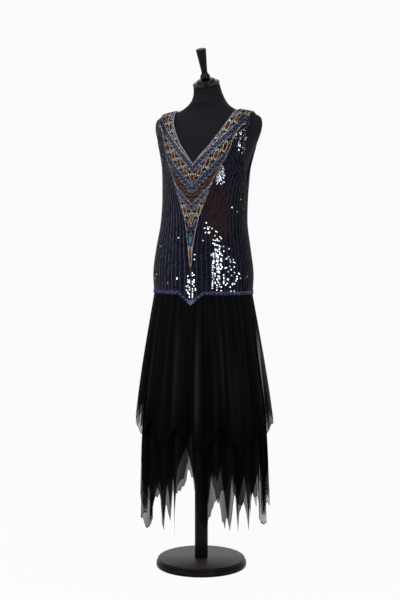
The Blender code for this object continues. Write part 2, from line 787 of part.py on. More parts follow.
def build_tier(name, sections, hem_rows, fold_depth, rows, material):
    quarter = TURN_STEPS // 4
    for piece, first, last, side, facing in (
        ("front_left", -quarter, 0, -1, -1),
        ("front_right", 0, quarter, 1, -1),
        ("back", quarter, 3 * quarter, 0, 1),
    ):
        outer = tier_point_grid(sections, np.arange(first, last + 1), hem_rows, fold_depth, rows)
        if side:
            outer = open_front(outer, side)
        outer = seam_trim(outer, facing)
        hint = outer - np.array([0.0, BODY_CENTRE_Y, 0.0])
        hint[:, :, 2] = 0.0
        normals = grid_normals(outer, hint)
        normals[0, :, 2] = 0.0
        normals[-1, :, 2] = 0.0
        for column in (0, -1):
            at_side = abs(outer[-1, column, 0]) > SIDE_ACROSS
            outward = np.array([1.0, 0.0, 0.0] if at_side else [0.0, 1.0, 0.0])
            facing_out = np.sign(np.sum(normals[:, column] * outward, axis=1, keepdims=True))
            normals[:, column] = outward * facing_out
        normals /= np.linalg.norm(normals, axis=2, keepdims=True)
        inner = outer - normals * CHIFFON_WALL
        wall_object(f"{name}_{piece}", outer, inner, material)


def build_hip_band(material):
    """The beaded band over the dropped waist's seam, in a front and a back half."""
    quarter = TURN_STEPS // 4
    turns = np.arange(-quarter, quarter + 1) / TURN_STEPS
    for name, facing in (("hip_band_front", -1), ("hip_band_back", 1)):
        sine = np.sin(turned_angle(turns))
        power = 2.0 / ROUNDNESS
        across_share = np.sign(sine) * np.abs(sine) ** power
        width = dress_section(np.array([SEAM_HEIGHT]), BODICE_WALL)[0][0]
        seam = seam_height(width * across_share, facing)
        middle = (BAND_ABOVE - BAND_BELOW) / 2
        heights = np.stack([seam - BAND_BELOW, seam + middle, seam + BAND_ABOVE])
        flare = np.array([[BAND_FLARE], [SEAM_GAP * 2], [SEAM_GAP * 2]])
        layers = []
        for wall in (0.0, BAND_WALL):
            stand_off = BODICE_WALL + flare + wall
            section = dress_section(heights, stand_off)
            x = section[0] * across_share[None, :]
            y = surface_y(x, heights, facing, stand_off)
            side_y = section[1]
            keep = SEAM_GAP / 2
            y = np.minimum(y, side_y - keep) if facing < 0 else np.maximum(y, side_y + keep)
            layers.append(np.stack([x, y, heights], axis=2))
        wall_object(name, layers[1], layers[0], material)


def main():
    clear_scene()
    lacquer = make_material("black_lacquer", LACQUER, 0.12, 0.0)
    stand_paint = make_material("black_paint", LACQUER, 0.3, 0.0)
    jersey = make_material("black_jersey", JERSEY, 0.9, 0.0)
    sequins = make_material("sequinned_cloth", SEQUIN_BLACK, 0.25, 0.6)
    panel_beads = make_material("panel_beads", PANEL_TAN, 0.35, 0.2)
    band_beads = make_material("band_beads", BEAD_LILAC, 0.3, 0.3)
    piping = make_material("piping_beads", PIPING_GREY, 0.4, 0.2)
    chiffon = make_material("black_chiffon", CHIFFON, 0.7, 0.0)
    build_stand(stand_paint)
    build_form(jersey, lacquer)
    build_bodice(sequins)
    build_panel(panel_beads)
    build_piping(piping)
    build_hip_band(band_beads)
    upper = tier_sections(UPPER_TIER_SECTIONS, 0.0)
    lower = tier_sections(LOWER_TIER_SECTIONS, CHIFFON_WALL + SEAM_GAP)
    build_tier("upper_tier", upper, UPPER_HEM, UPPER_FOLD_DEPTH, UPPER_ROWS, chiffon)
    build_tier("lower_tier", lower, LOWER_HEM, LOWER_FOLD_DEPTH, LOWER_ROWS, chiffon)


main()
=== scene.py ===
import math

import bpy
import numpy as np
from bpy.props import FloatProperty, FloatVectorProperty, IntProperty, PointerProperty
from bpy.types import Operator, Panel, PropertyGroup
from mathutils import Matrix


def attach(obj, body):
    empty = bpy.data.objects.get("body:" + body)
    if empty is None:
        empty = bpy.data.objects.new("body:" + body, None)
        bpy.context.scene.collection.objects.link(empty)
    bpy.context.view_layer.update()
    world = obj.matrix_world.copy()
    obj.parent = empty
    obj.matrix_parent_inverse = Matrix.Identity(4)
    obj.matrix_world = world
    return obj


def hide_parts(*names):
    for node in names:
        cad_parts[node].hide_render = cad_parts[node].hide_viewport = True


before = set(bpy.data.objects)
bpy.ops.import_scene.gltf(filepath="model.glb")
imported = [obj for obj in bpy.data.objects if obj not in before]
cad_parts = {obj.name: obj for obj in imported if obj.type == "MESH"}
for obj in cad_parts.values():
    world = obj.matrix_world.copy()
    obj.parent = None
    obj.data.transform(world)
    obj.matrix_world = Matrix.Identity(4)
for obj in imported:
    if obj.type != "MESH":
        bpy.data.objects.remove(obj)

bl_info = {
    "name": "Beaded drop-waist dress",
    "version": (1, 0, 0),
    "blender": (4, 5, 0),
    "location": "View3D > Sidebar > Dress",
    "description": "Builds the fine surfaces of a beaded dress on its dress form and stand",
    "category": "Object",
}

MM = 0.001

# Clearances and walls, as in the solids; the piping lies a little further out than the wall's middle
SEAM_GAP = 0.3 * MM
BODICE_WALL = 2.4 * MM
CHIFFON_WALL = 1.0 * MM
BAND_FLARE = 2.2 * MM
BAND_BELOW = 5 * MM
BAND_ABOVE = 7 * MM
PIPING_RADIUS = 1.8 * MM
PIPING_LIFT = 0.6 * MM
# Beads of the piping
PIPING_PITCH = 2.6 * MM
PIPING_GREY = (0.20, 0.195, 0.23)

# Stand; the base's faces this close to its top have the satin paint
POLE_RADIUS = 22 * MM
POLE_BEVEL = 1 * MM
POLE_ROUNDING = 1.5 * MM
POLE_MIDDLE = 0.3
BASE_ROUNDING = 1.6 * MM
BASE_TOP_DEPTH = 0.7 * MM
SATIN_COLOUR = (0.015, 0.0110, 0.0120)
BASE_PROFILE = [  # radius, height
    (150 * MM, 0.0),
    (151 * MM, 2 * MM),
    (151 * MM, 12 * MM),
    (149 * MM, 14.5 * MM),
    (145 * MM, 15 * MM),
    (146.5 * MM, 17 * MM),
    (146.5 * MM, 23 * MM),
    (143 * MM, 25.5 * MM),
]

# Points round each turned piece and up the eased profiles, and the radius that their ends close to
BASE_SIDES = 160
POLE_SIDES = 96
CAP_SIDES = 96
FINIAL_SIDES = 72
CAP_STEPS = 40
FINIAL_STEPS = 90
END_RADIUS = 0.2 * MM
# Form: points round a section, sections in its rounded foot and above it, and how far its ends close
FORM_SIDES = 132
FORM_FOOT_STEPS = 10
FORM_STEPS = 120
END_SHARE = 0.002
# Form and neck, one row for each section
FORM_SECTIONS = [
    # height, half_width, side_y, front_y, back_y, power, tilt in degrees
    (0.800, 0.142, 0.016, -0.070, 0.104, 2.15, 0),
    (0.812, 0.152, 0.016, -0.078, 0.112, 2.15, 0),
    (0.860, 0.161, 0.015, -0.085, 0.117, 2.15, 0),
    (0.920, 0.163, 0.015, -0.086, 0.117, 2.15, 0),
    (0.975, 0.165, 0.015, -0.086, 0.117, 2.15, 0),
    (1.060, 0.153, 0.017, -0.088, 0.116, 2.15, 0),
    (1.140, 0.137, 0.023, -0.079, 0.123, 2.15, 0),
    (1.200, 0.135, 0.030, -0.075, 0.135, 2.15, 0),
    (1.270, 0.137, 0.038, -0.073, 0.145, 2.15, 0),
    (1.333, 0.144, 0.044, -0.070, 0.156, 2.15, 0),
    (1.380, 0.157, 0.051, -0.061, 0.159, 2.15, 0),
    (1.425, 0.177, 0.057, -0.045, 0.153, 2.10, 0),
    (1.455, 0.187, 0.060, -0.029, 0.144, 1.95, 0),
    (1.477, 0.1885, 0.061, -0.014, 0.136, 1.75, 0),
    (1.493, 0.181, 0.062, -0.002, 0.128, 1.60, 0),
    (1.502, 0.164, 0.062, 0.004, 0.122, 1.50, 0),
    (1.508, 0.140, 0.062, 0.008, 0.118, 1.50, 0),
    (1.513, 0.114, 0.062, 0.010, 0.116, 1.55, 0),
    (1.525, 0.085, 0.063, 0.011, 0.116, 1.85, 0),
]
NECK_SECTIONS = [
    # the same columns
    (1.544, 0.0610, 0.064, 0.0030, 0.1250, 2.0, 4),
    (1.563, 0.0510, 0.060, 0.0090, 0.1110, 2.0, 11),
    (1.584, 0.0456, 0.052, 0.0064, 0.0976, 2.0, 18),
    (1.601, 0.0432, 0.044, 0.0008, 0.0872, 2.0, 24),
]
NECK_TILT = math.radians(24)
CAP_PROFILE = [  # radius, height above the neck
    (43.0 * MM, 0.0),
    (44.5 * MM, 2.0 * MM),
    (44.5 * MM, 5.0 * MM),
    (41.0 * MM, 6.5 * MM),
    (33.0 * MM, 9.0 * MM),
    (31.0 * MM, 14.0 * MM),
    (24.0 * MM, 17.5 * MM),
    (13.0 * MM, 18.5 * MM),
]
FINIAL_PROFILE = [  # radius, height above the cap
    (13.0 * MM, 0.0),
    (15.8 * MM, 3.5 * MM),
    (16.6 * MM, 8.0 * MM),
    (15.2 * MM, 13.0 * MM),
    (12.0 * MM, 17.5 * MM),
    (10.2 * MM, 22.0 * MM),
    (10.0 * MM, 27.0 * MM),
    (11.4 * MM, 43.0 * MM),
    (13.8 * MM, 66.0 * MM),
    (16.6 * MM, 95.0 * MM),
    (16.4 * MM, 100.0 * MM),
    (13.5 * MM, 101.5 * MM),
]

# Power of the superellipse that the dress's sections are at the hip and below
ROUNDNESS = 2.15
EASE_ROWS = [
    # height, how far the cloth's inner face stands clear of the form
    (0.86, 1.6 * MM),
    (0.975, 3.2 * MM),
    (1.06, 4.0 * MM),
    (1.14, 6.0 * MM),
    (1.20, 5.0 * MM),
    (1.27, 4.5 * MM),
    (1.333, 2.4 * MM),
    (1.44, 2.2 * MM),
    (1.485, 2.6 * MM),
    (1.50, 1.5 * MM),
    (1.515, 0.8 * MM),
    (1.535, 0.8 * MM),
]
# Between these heights the ease turns from outward to upward
ROOF_START = 1.42
ROOF_END = 1.47
# The shoulder's top line lies between these heights
RIDGE_LOW = 1.480
RIDGE_HIGH = 1.530

# Edges of the bodice
SEAM_HEIGHT = 0.918
SEAM_DIP = 34 * MM
SEAM_DIP_HALF_WIDTH = 44 * MM
ARMPIT_HEIGHT = 1.275
STRAP_INNER = 0.112
STRAP_OUTER = 0.160
V_NECK_ROWS = [
    # across, height
    (0.000, 1.331),
    (0.016, 1.351),
    (0.032, 1.372),
    (0.052, 1.395),
    (0.078, 1.436),
    (0.096, 1.470),
]
BACK_NECK_ROWS = [
    # across, height
    (0.000, 1.440),
    (0.040, 1.443),
    (0.075, 1.456),
    (0.098, 1.478),
]
ARMHOLE_ROWS = [
    # across, height, from the armpit up
    (0.1455, 1.320),
    (0.1500, 1.375),
    (0.1570, 1.424),
    (0.1625, 1.476),
]
PANEL_OUTER_ROWS = [
    # height, half the width of the beaded panel
    (1.005, 0.003),
    (1.060, 0.007),
    (1.129, 0.018),
    (1.220, 0.041),
    (1.285, 0.068),
    (1.368, 0.107),
    (1.424, 0.124),
    (1.470, 0.146),
]
PANEL_STRAP_HEIGHT = 1.462
# Steps of a column in a quarter of a turn, and those at both sides of a strap
QUARTER = 24
STRAP_INNER_STEP = 11
STRAP_OUTER_STEP = 17
# How much the columns crowd along an edge towards the shoulder
EDGE_BIAS = 1.45
# Cloth and beads of the hip band, and the scallops that pale beads make along its top
BAND_CLOTH_FACE = 1.4 * MM
BAND_CLOTH_BACK = 0.2 * MM
BAND_BEAD_SIZE = 2.4 * MM
BAND_BEAD_PITCH = 2.3 * MM
BAND_BEAD_LIFT = 1.9 * MM
BAND_NAVY = (0.009, 0.011, 0.045)
SCALLOP_PALE = (0.125, 0.135, 0.24)
SCALLOP_PITCH = 15 * MM
SCALLOP_RISE = 5 * MM
SCALLOP_HALF_LINE = 1.5 * MM
SCALLOP_LOW = -2 * MM
SCALLOP_HEIGHT = 8 * MM
SCALLOP_FOOT = 0.45
BAND_MARGIN = 1.1 * MM
PALE_POINT = 12 * MM

# Skirt
UPPER_TIER_SECTIONS = [
    # height, half_width, side_y, front_y, back_y
    (0.430, 0.234, 0.022, -0.128, 0.170),
    (0.500, 0.229, 0.022, -0.126, 0.168),
    (0.560, 0.223, 0.021, -0.122, 0.162),
    (0.690, 0.206, 0.018, -0.112, 0.148),
    (0.820, 0.185, 0.016, -0.100, 0.132),
]
LOWER_TIER_SECTIONS = [
    (0.080, 0.219, 0.026, -0.106, 0.160),
    (0.250, 0.214, 0.025, -0.108, 0.158),
    (0.440, 0.206, 0.022, -0.106, 0.150),
    (0.560, 0.199, 0.021, -0.103, 0.144),
    (0.690, 0.187, 0.018, -0.099, 0.134),
    (0.820, 0.174, 0.016, -0.094, 0.125),
]
# Large folds in a turn, and the slow waves that space them and size them unevenly
FOLDS = 24
FOLD_WARP = ((2, 0.010), (4, -0.006), (6, 0.003))  # waves in a turn, shift in turns
FOLD_UNEVENNESS = ((5, 0.30, 0.0), (7, 0.22, math.pi / 2))  # waves in a turn, strength, shift
# Painted shade of a fold: its middle and swing, how strong the painted gathers are at the seam and how much
# they lose
SHADE_MIDDLE = 0.5
SHADE_SWING = 0.42
SHADE_LIMIT = 1.7
GATHER_START = 1.15
GATHER_LOSS = 0.8
# How fast the folds deepen below the seam
FOLD_GROWTH = 2.2
FOLD_GROWTH_POWER = 1.3
UPPER_FOLD_DEPTH = 8.5 * MM
LOWER_FOLD_DEPTH = 10.0 * MM
# Hems, from the centre front round to the right, back and left in steps of a column
LOWER_HEM = [
    # step, height, how sharply a tip narrows
    (0, 0.345, 1.0),
    (0.7, 0.262, 1.0),
    (2.7, 0.150, 0.8),
    (4.2, 0.178, 1.0),
    (5.9, 0.261, 1.0),
    (8.2, 0.146, 1.3),
    (8.7, 0.190, 1.0),
    (9.2, 0.140, 1.5),
    (10.4, 0.258, 1.0),
    (11.7, 0.148, 1.5),
    (13.0, 0.237, 1.0),
    (13.8, 0.155, 1.6),
    (14.4, 0.215, 1.0),
    (15.0, 0.185, 1.0),
    (16.4, 0.261, 1.0),
    (18.2, 0.238, 1.0),
    (21.1, 0.152, 0.6),
    (25, 0.250, 1.0),
    (28, 0.168, 1.3),
    (30, 0.262, 1.0),
    (33, 0.150, 1.5),
    (35, 0.270, 1.0),
    (38, 0.186, 0.8),
    (40, 0.286, 1.0),
    (43, 0.160, 1.5),
    (45, 0.274, 1.0),
    (48, 0.178, 1.2),
    (50, 0.268, 1.0),
    (53, 0.160, 1.6),
    (55, 0.290, 1.0),
    (58, 0.192, 0.8),
    (60, 0.262, 1.0),
    (63, 0.150, 1.4),
    (65, 0.240, 1.0),
    (68, 0.142, 1.5),
    (70, 0.230, 1.0),
    (73, 0.165, 1.0),
    (77, 0.240, 1.0),
    (83.3, 0.131, 0.9),
    (85.3, 0.181, 1.0),
    (86.2, 0.142, 1.6),
    (87.1, 0.251, 1.0),
    (90.2, 0.127, 1.4),
    (90.8, 0.219, 1.0),
    (91.5, 0.166, 1.3),
    (92.1, 0.257, 1.0),
    (93.1, 0.110, 1.5),
    (94.0, 0.260, 1.0),
    (95.1, 0.318, 1.0),
    (96, 0.360, 1.0),
]
UPPER_HEM = [
    (0, 0.470, 1.2),
    (3, 0.405, 0.8),
    (7, 0.500, 1.2),
    (12, 0.385, 1.2),
    (15, 0.490, 1.2),
    (20, 0.440, 0.8),
    (24, 0.530, 1.2),
    (28, 0.455, 1.2),
    (33, 0.545, 1.2),
    (37, 0.400, 0.8),
    (41, 0.492, 1.2),
    (45, 0.372, 1.2),
    (48, 0.470, 1.2),
    (52, 0.360, 0.8),
    (56, 0.476, 1.2),
    (61, 0.384, 1.2),
    (66, 0.500, 1.2),
    (70, 0.440, 0.8),
    (73, 0.530, 1.2),
    (77, 0.462, 1.2),
    (80, 0.540, 1.2),
    (84, 0.425, 0.8),
    (87, 0.500, 1.2),
    (91, 0.400, 1.2),
    (94, 0.480, 1.2),
    (96, 0.450, 0.8),
]
SLIT_ROWS = [
    # height, half the opening between the front pieces
    (0.20, 19 * MM),
    (0.33, 10 * MM),
    (0.45, 4.5 * MM),
    (0.58, 1.2 * MM),
    (0.66, 0.0),
]
# How far from the centre the parting of the front pieces reaches
SLIT_REACH = 60 * MM
# Where the gathered, darker cloth of the lower tier ends in points above its sheer hem
DARK_EDGE = [
    # step, height, how sharply a tip narrows
    (0, 0.380, 1.0),
    (1.5, 0.250, 1.0),
    (4.0, 0.215, 1.0),
    (5.2, 0.345, 1.0),
    (6.2, 0.290, 1.0),
    (7.2, 0.335, 1.0),
    (8.9, 0.155, 1.2),
    (10.4, 0.365, 1.0),
    (11.7, 0.160, 1.3),
    (13.0, 0.345, 1.0),
    (13.9, 0.170, 1.3),
    (15.0, 0.250, 1.0),
    (16.4, 0.235, 1.0),
    (17.6, 0.310, 1.0),
    (18.4, 0.280, 1.0),
    (21.5, 0.425, 1.0),
    (25, 0.400, 1.0),
    (28, 0.210, 1.2),
    (30, 0.330, 1.0),
    (33, 0.170, 1.3),
    (36, 0.350, 1.0),
    (39, 0.250, 1.0),
    (41, 0.340, 1.0),
    (43, 0.185, 1.3),
    (46, 0.350, 1.0),
    (49, 0.240, 1.0),
    (51, 0.330, 1.0),
    (53, 0.185, 1.3),
    (56, 0.350, 1.0),
    (59, 0.280, 1.0),
    (63, 0.175, 1.3),
    (66, 0.340, 1.0),
    (68, 0.170, 1.3),
    (71, 0.330, 1.0),
    (75, 0.300, 1.0),
    (79, 0.330, 1.0),
    (83.0, 0.250, 1.0),
    (83.6, 0.200, 1.4),
    (84.4, 0.262, 1.0),
    (86.1, 0.150, 1.3),
    (87.6, 0.272, 1.0),
    (90.2, 0.140, 1.2),
    (90.9, 0.262, 1.0),
    (91.5, 0.190, 1.2),
    (92.1, 0.290, 1.0),
    (93.1, 0.130, 1.2),
    (94.2, 0.330, 1.0),
    (96, 0.420, 1.0),
]
# Soft gathers under the seam, painted only as shade in the cloth's colour and cover; the cloth itself is not
# moved
PAINTED_GATHERS = (
    # folds round the seam, strength, shift
    (53, 0.12, 1.0),
    (83, 0.09, 0.2),
    (37, 0.15, 3.1),
)
# Fine waves that fray the hems
RAGGED_EDGE = (
    # waves round the hem, height, shift
    (47, 7.0 * MM, 0.4),
    (71, 6.0 * MM, 2.1),
    (131, 3.5 * MM, 4.0),
)
# Share of the fine waves in each tier's hem
FRAY = {"upper_tier": 0.35, "lower_tier": 1.0}
# How far the dark edge is moved up, and its thin darker line
DARK_EDGE_RAISE = 16 * MM
DARK_LINE_WIDTH = 1.6 * MM
DARK_LINE_COVER = 0.9
# Shares of the light that the gathered cloth and the rolled hem stop
DARK_COVER = 0.992
HEM_COVER = 0.93
# Pieces of each tier
TIER_PIECES = (
    # name, first turn, last turn, side, columns
    ("front_left", -0.25, 0.0, -1, 241),
    ("front_right", 0.0, 0.25, 1, 241),
    ("back", 0.25, 0.75, 0, 361),
)
# Levels of a tier's rows from the hem at 0 to the seam at 1, closest at the rolled hem
TIER_LEVELS = np.concatenate(
    [[0.0, 0.0055, 0.0080], np.linspace(0.010, 0.30, 39), np.linspace(0.31, 1.0, 22)]
)
# Turns where the cloth starts to thin, is thinnest, starts to thicken and is dark again
UPPER_SHEER_RIGHT = (0.17, 0.22, 0.36, 0.42)
UPPER_SHEER_LEFT = (0.70, 0.75, 0.86, 0.91)
LOWER_SHEER_RIGHT = (0.16, 0.19, 0.38, 0.42)
LOWER_SHEER_LEFT = (0.68, 0.72, 0.84, 0.88)
# How much more light steep cloth and hollows between folds stop; in the hollows this is painted shade
STEEP_COVER = 0.25
PAINTED_HOLLOW_SHADE = 0.35
HOLLOW_START = 1.1
# Painted shade and highlight in the colour of the folds: darker in hollows, paler on ridges, and how high
# over the hem it has faded in
HOLLOW_SHADE = 0.12
RIDGE_SHADE = 2.1
RIDGE_POWER = 1.9
RIDGE_FADE = 0.16
LOWER_TIER_RIDGE = 0.25
# A crease of this depth is painted one whole step paler, and one pressed in as deep one step darker; it
# fades over these heights at its low and high end
CREASE_PAINTED_STEP = 4 * MM
CREASE_LOW_FADE = (0.1, 0.05)
CREASE_HIGH_FADE = 0.12
# Single long creases of the skirt
CREASE_ROWS = [
    # turn, half width in turns, depth, height where it starts, height where it ends
    (0.018, 0.0045, 3.4 * MM, 0.84, 0.40),
    (0.047, 0.0060, -2.8 * MM, 0.80, 0.46),
    (0.083, 0.0040, 4.0 * MM, 0.86, 0.52),
    (0.121, 0.0070, 3.0 * MM, 0.76, 0.38),
    (0.158, 0.0045, -3.6 * MM, 0.83, 0.44),
    (0.196, 0.0060, 3.8 * MM, 0.70, 0.36),
    (0.243, 0.0050, 2.6 * MM, 0.82, 0.50),
    (0.287, 0.0065, -3.0 * MM, 0.78, 0.42),
    (0.331, 0.0045, 3.6 * MM, 0.86, 0.40),
    (0.372, 0.0070, 2.8 * MM, 0.72, 0.36),
    (0.419, 0.0050, -3.4 * MM, 0.80, 0.48),
    (0.458, 0.0060, 3.2 * MM, 0.84, 0.44),
    (0.503, 0.0045, 4.0 * MM, 0.76, 0.38),
    (0.549, 0.0070, -2.6 * MM, 0.82, 0.42),
    (0.592, 0.0050, 3.4 * MM, 0.86, 0.50),
    (0.634, 0.0060, 2.8 * MM, 0.70, 0.36),
    (0.681, 0.0045, -3.8 * MM, 0.80, 0.46),
    (0.722, 0.0065, 3.0 * MM, 0.84, 0.40),
    (0.768, 0.0050, 3.6 * MM, 0.78, 0.44),
    (0.806, 0.0060, -3.0 * MM, 0.86, 0.52),
    (0.848, 0.0045, 4.0 * MM, 0.74, 0.38),
    (0.889, 0.0070, 2.6 * MM, 0.82, 0.42),
    (0.931, 0.0050, -3.4 * MM, 0.80, 0.48),
    (0.972, 0.0060, 3.2 * MM, 0.86, 0.40),
]

# Chevron bands of the beaded panel. A bead's level is its drop below the neckline's point plus
# its distance from the centre times the slope.
CHEVRON_SLOPE = 1.05
MOTIF_PERIOD = 36 * MM
CHECK_PERIOD = 26 * MM
ROW_PERIOD = 5 * MM
# Shares of a check's cell: half the net's line and its middle
NET_HALF_LINE = 0.20
NET_MIDDLE = 0.30
# Shares of an oval's cell: its size, its core, its inner ring, and the spots beside and in the corners
OVAL_WIDTH = 0.66
OVAL_HEIGHT = 0.92
OVAL_CORE = 0.46
OVAL_RING = 0.74
SIDE_SPOT = (0.86, 0.34)
CORNER_SPOT = (0.70, 0.74)
# Border along the neckline, in two colours by turns
NECK_BORDER = 5.5 * MM
BORDER_PERIOD = 4 * MM
# Rows of beads slope, so they lie this much further apart straight down than across them
ROW_SLOPE_SHARE = 1.7
FIRST_ROW = 3 * MM
PANEL_BACKING = 1.2 * MM
STONE_HEIGHT = 1.6 * MM
# Share of its size that a bead stands off the backing, and its least and most size
BEAD_LIFT = 0.3
BEAD_SIZES = (0.92, 1.08)
PANEL_BANDS = [
    # start, end, kind, first colour, second colour, third colour
    (-90 * MM, -48 * MM, "checks", "lilac", "navy", "pale"),
    (-48 * MM, -45 * MM, "row", "cream", "gold", "cream"),
    (-43 * MM, -6 * MM, "ovals", "cream", "amber", "garnet"),
    (-4 * MM, 0 * MM, "row", "cream", "tan", "cream"),
    (0 * MM, 20 * MM, "checks", "lilac", "navy", "pale"),
    (20 * MM, 23 * MM, "row", "cream", "pale", "cream"),
    (25 * MM, 62 * MM, "ovals", "cream", "amber", "garnet"),
    (64 * MM, 67 * MM, "row", "cream", "lilac", "cream"),
    (67 * MM, 88 * MM, "checks", "lilac", "navy", "pale"),
    (88 * MM, 91 * MM, "row", "gold", "cream", "gold"),
    (93 * MM, 122 * MM, "ovals", "tan", "garnet", "garnet"),
    (124 * MM, 127 * MM, "row", "cream", "pale", "cream"),
    (127 * MM, 146 * MM, "checks", "pale", "navy", "lilac"),
    (146 * MM, 149 * MM, "row", "cream", "gold", "cream"),
    (151 * MM, 192 * MM, "ovals", "cream", "gold", "amber"),
    (194 * MM, 197 * MM, "row", "cream", "garnet", "cream"),
    (197 * MM, 214 * MM, "checks", "lilac", "garnet", "navy"),
    (216 * MM, 262 * MM, "ovals", "lilac", "navy", "teal"),
    (264 * MM, 268 * MM, "row", "cream", "gold", "cream"),
    (268 * MM, 345 * MM, "row", "tan", "cream", "gold"),
]
PALETTE = {
    "ground": (0.004, 0.003, 0.004),
    "lilac": (0.068, 0.080, 0.168),
    "navy": (0.004, 0.005, 0.019),
    "pale": (0.120, 0.129, 0.198),
    "cream": (0.384, 0.342, 0.288),
    "gold": (0.138, 0.081, 0.039),
    "tan": (0.120, 0.075, 0.048),
    "amber": (0.072, 0.022, 0.006),
    "garnet": (0.027, 0.002, 0.005),
    "teal": (0.024, 0.072, 0.108),
}
# Larger raised stones of the panel, on the right half; those off the centre are mirrored
STONES = [
    # across, level, width, length, lean in degrees, colour
    (0.0, 43 * MM, 9 * MM, 18 * MM, 0, "garnet"),
    (24.8 * MM, 43 * MM, 9 * MM, 20 * MM, 40, "amber"),
    (49.6 * MM, 43 * MM, 9 * MM, 20 * MM, 42, "garnet"),
    (74.4 * MM, 43 * MM, 9 * MM, 20 * MM, 44, "amber"),
    (0.0, 107 * MM, 8 * MM, 14 * MM, 0, "garnet"),
    (24.8 * MM, 107 * MM, 8 * MM, 15 * MM, 40, "garnet"),
    (49.6 * MM, 107 * MM, 7 * MM, 13 * MM, 42, "garnet"),
    (0.0, 171 * MM, 13 * MM, 24 * MM, 0, "amber"),
    (0.0, 239 * MM, 9 * MM, 29 * MM, 0, "teal"),
    (99.2 * MM, -24 * MM, 9 * MM, 21 * MM, 42, "garnet"),
    (124.0 * MM, -24 * MM, 9 * MM, 21 * MM, 34, "amber"),
]
# How much closer the bead lines stand where the panel takes their room
LINE_CROWDING = 0.62
# Rows and columns of the grids that the beads are placed on, and of the panel's own cloth
BODICE_GRID = (150, 241)
PANEL_GRID = (240, 385)
PIPING_GRID = (60, 385)
BACKING_ROWS = 60
BACKING_COLUMNS = 161
# Bodice: cloth, height of the sequins and lines on it, and the sequins' lean
BODICE_GROUND = 1.4 * MM
SEQUIN_LIFT = 0.55 * MM
LINE_LIFT = 1.15 * MM
SEQUIN_LEAN = -math.radians(9)
# Share of the unevenness that is left where sequins lie flat
FLAT_SHARE = 0.35
# Browner patch at the right of the front, and a painted grey sheen towards the left that stands in for
# reflections on the sequins
BROWN_GROUND = (0.0130, 0.0062, 0.0050)
BROWN_ACROSS = (0.030, 0.058, 0.085, 0.140)  # where it starts, is full, fades and ends
BROWN_HEIGHTS = (1.075, 1.125, 1.235, 1.285)
PAINTED_GREY_SHEEN = (0.011, 0.011, 0.018)
# Painted glint: pale colour that a sequin is given in place of the light it mirrors, and the share of such
# sequins outside the patches
PAINTED_GLINT_COLOUR = (0.72, 0.74, 0.80)
STRAY_GLINT_SHARE = 0.003
# Least and most share of its colour that a bead or sequin has
SEQUIN_SHADES = (0.3, 2.2)
LINE_SHADES = (0.35, 1.6)
BROWN_SHADES = (0.45, 1.0)
PANEL_SHADES = (0.35, 1.5)
PIPING_SHADES = (0.7, 1.3)
BAND_SHADES = (0.45, 1.45)
# Share of their own colour that sequins and line beads lose in the browner patch
SEQUIN_BROWN_LOSS = 0.8
LINE_BROWN_LOSS = 0.85
LINE_BROWN_SHARE = 0.35
# Places across between which the painted grey sheen fades and the line beads grow dull
PAINTED_SHEEN_FADE = (-0.12, 0.0)
DULL_START = (-0.02, 0.05)
DULL_SHARE = 0.62
# Line beads: column of the first line, room that a bead takes as a share of its length, and its turn
FIRST_LINE = 0.4
LINE_ROOM = 1.12
LINE_TURN = 0.07
# Vertical streaks in the painted glint patches: how far and how often they sway, and how full they are
STREAK_PITCH = 12 * MM
STREAK_SWAY = 2.2
STREAK_SWAY_RATE = 34.0
STREAK_LEAST = 0.22
STREAK_MORE = 0.70
# A patch thins out between these shares of its half width and half height
GLINT_FADE = (0.45, 1.25)
# Patches of sequins that lie flat and are given the painted glint colour
GLINT_ROWS = [
    # across, height, half width, half height, share of sequins given the painted glint colour
    (0.085, 1.008, 0.020, 0.104, 0.86),
    (0.116, 0.985, 0.034, 0.084, 0.20),
    (0.088, 1.300, 0.014, 0.032, 0.85),
    (0.148, 1.412, 0.026, 0.040, 0.30),
    (0.054, 1.121, 0.017, 0.024, 0.38),
    (0.000, 0.940, 0.016, 0.050, 0.80),
    (-0.048, 0.973, 0.006, 0.012, 0.50),
    (-0.120, 0.960, 0.040, 0.040, 0.04),
]

# Photograph's view
CAMERA_AZIMUTH = 22.0
CAMERA_PITCH = 4.1
CAMERA_DISTANCE = 4.0
CAMERA_HEIGHT = 1.1775
CAMERA_LENS = 72.7
CAMERA_ASIDE = 4.5 * MM
# Pale surroundings and studio lights
FLOOR_RADIUS = 40.0
FLOOR_GLOW = 0.932
WORLD_STRENGTH = 0.96
LIGHTS = (
    # name, azimuth in degrees, height, reach, width, length, power in watts
    ("soft_left", -32.0, 2.0, 2.6, 1.2, 1.8, 40.0),
    ("soft_right", 48.0, 2.0, 3.0, 0.8, 1.7, 46.0),
    ("overhead", 22.0, 3.6, 1.2, 2.0, 2.0, 22.0),
)


def length_value(name, description, value):
    return FloatProperty(name=name, description=description, default=value, unit="LENGTH")


def share_value(name, description, value):
    return FloatProperty(name=name, description=description, default=value, min=0.0, max=1.0)


def colour_value(name, thing, value):
    return FloatVectorProperty(name=name, description=f"Colour of {thing}", default=value, subtype="COLOR")


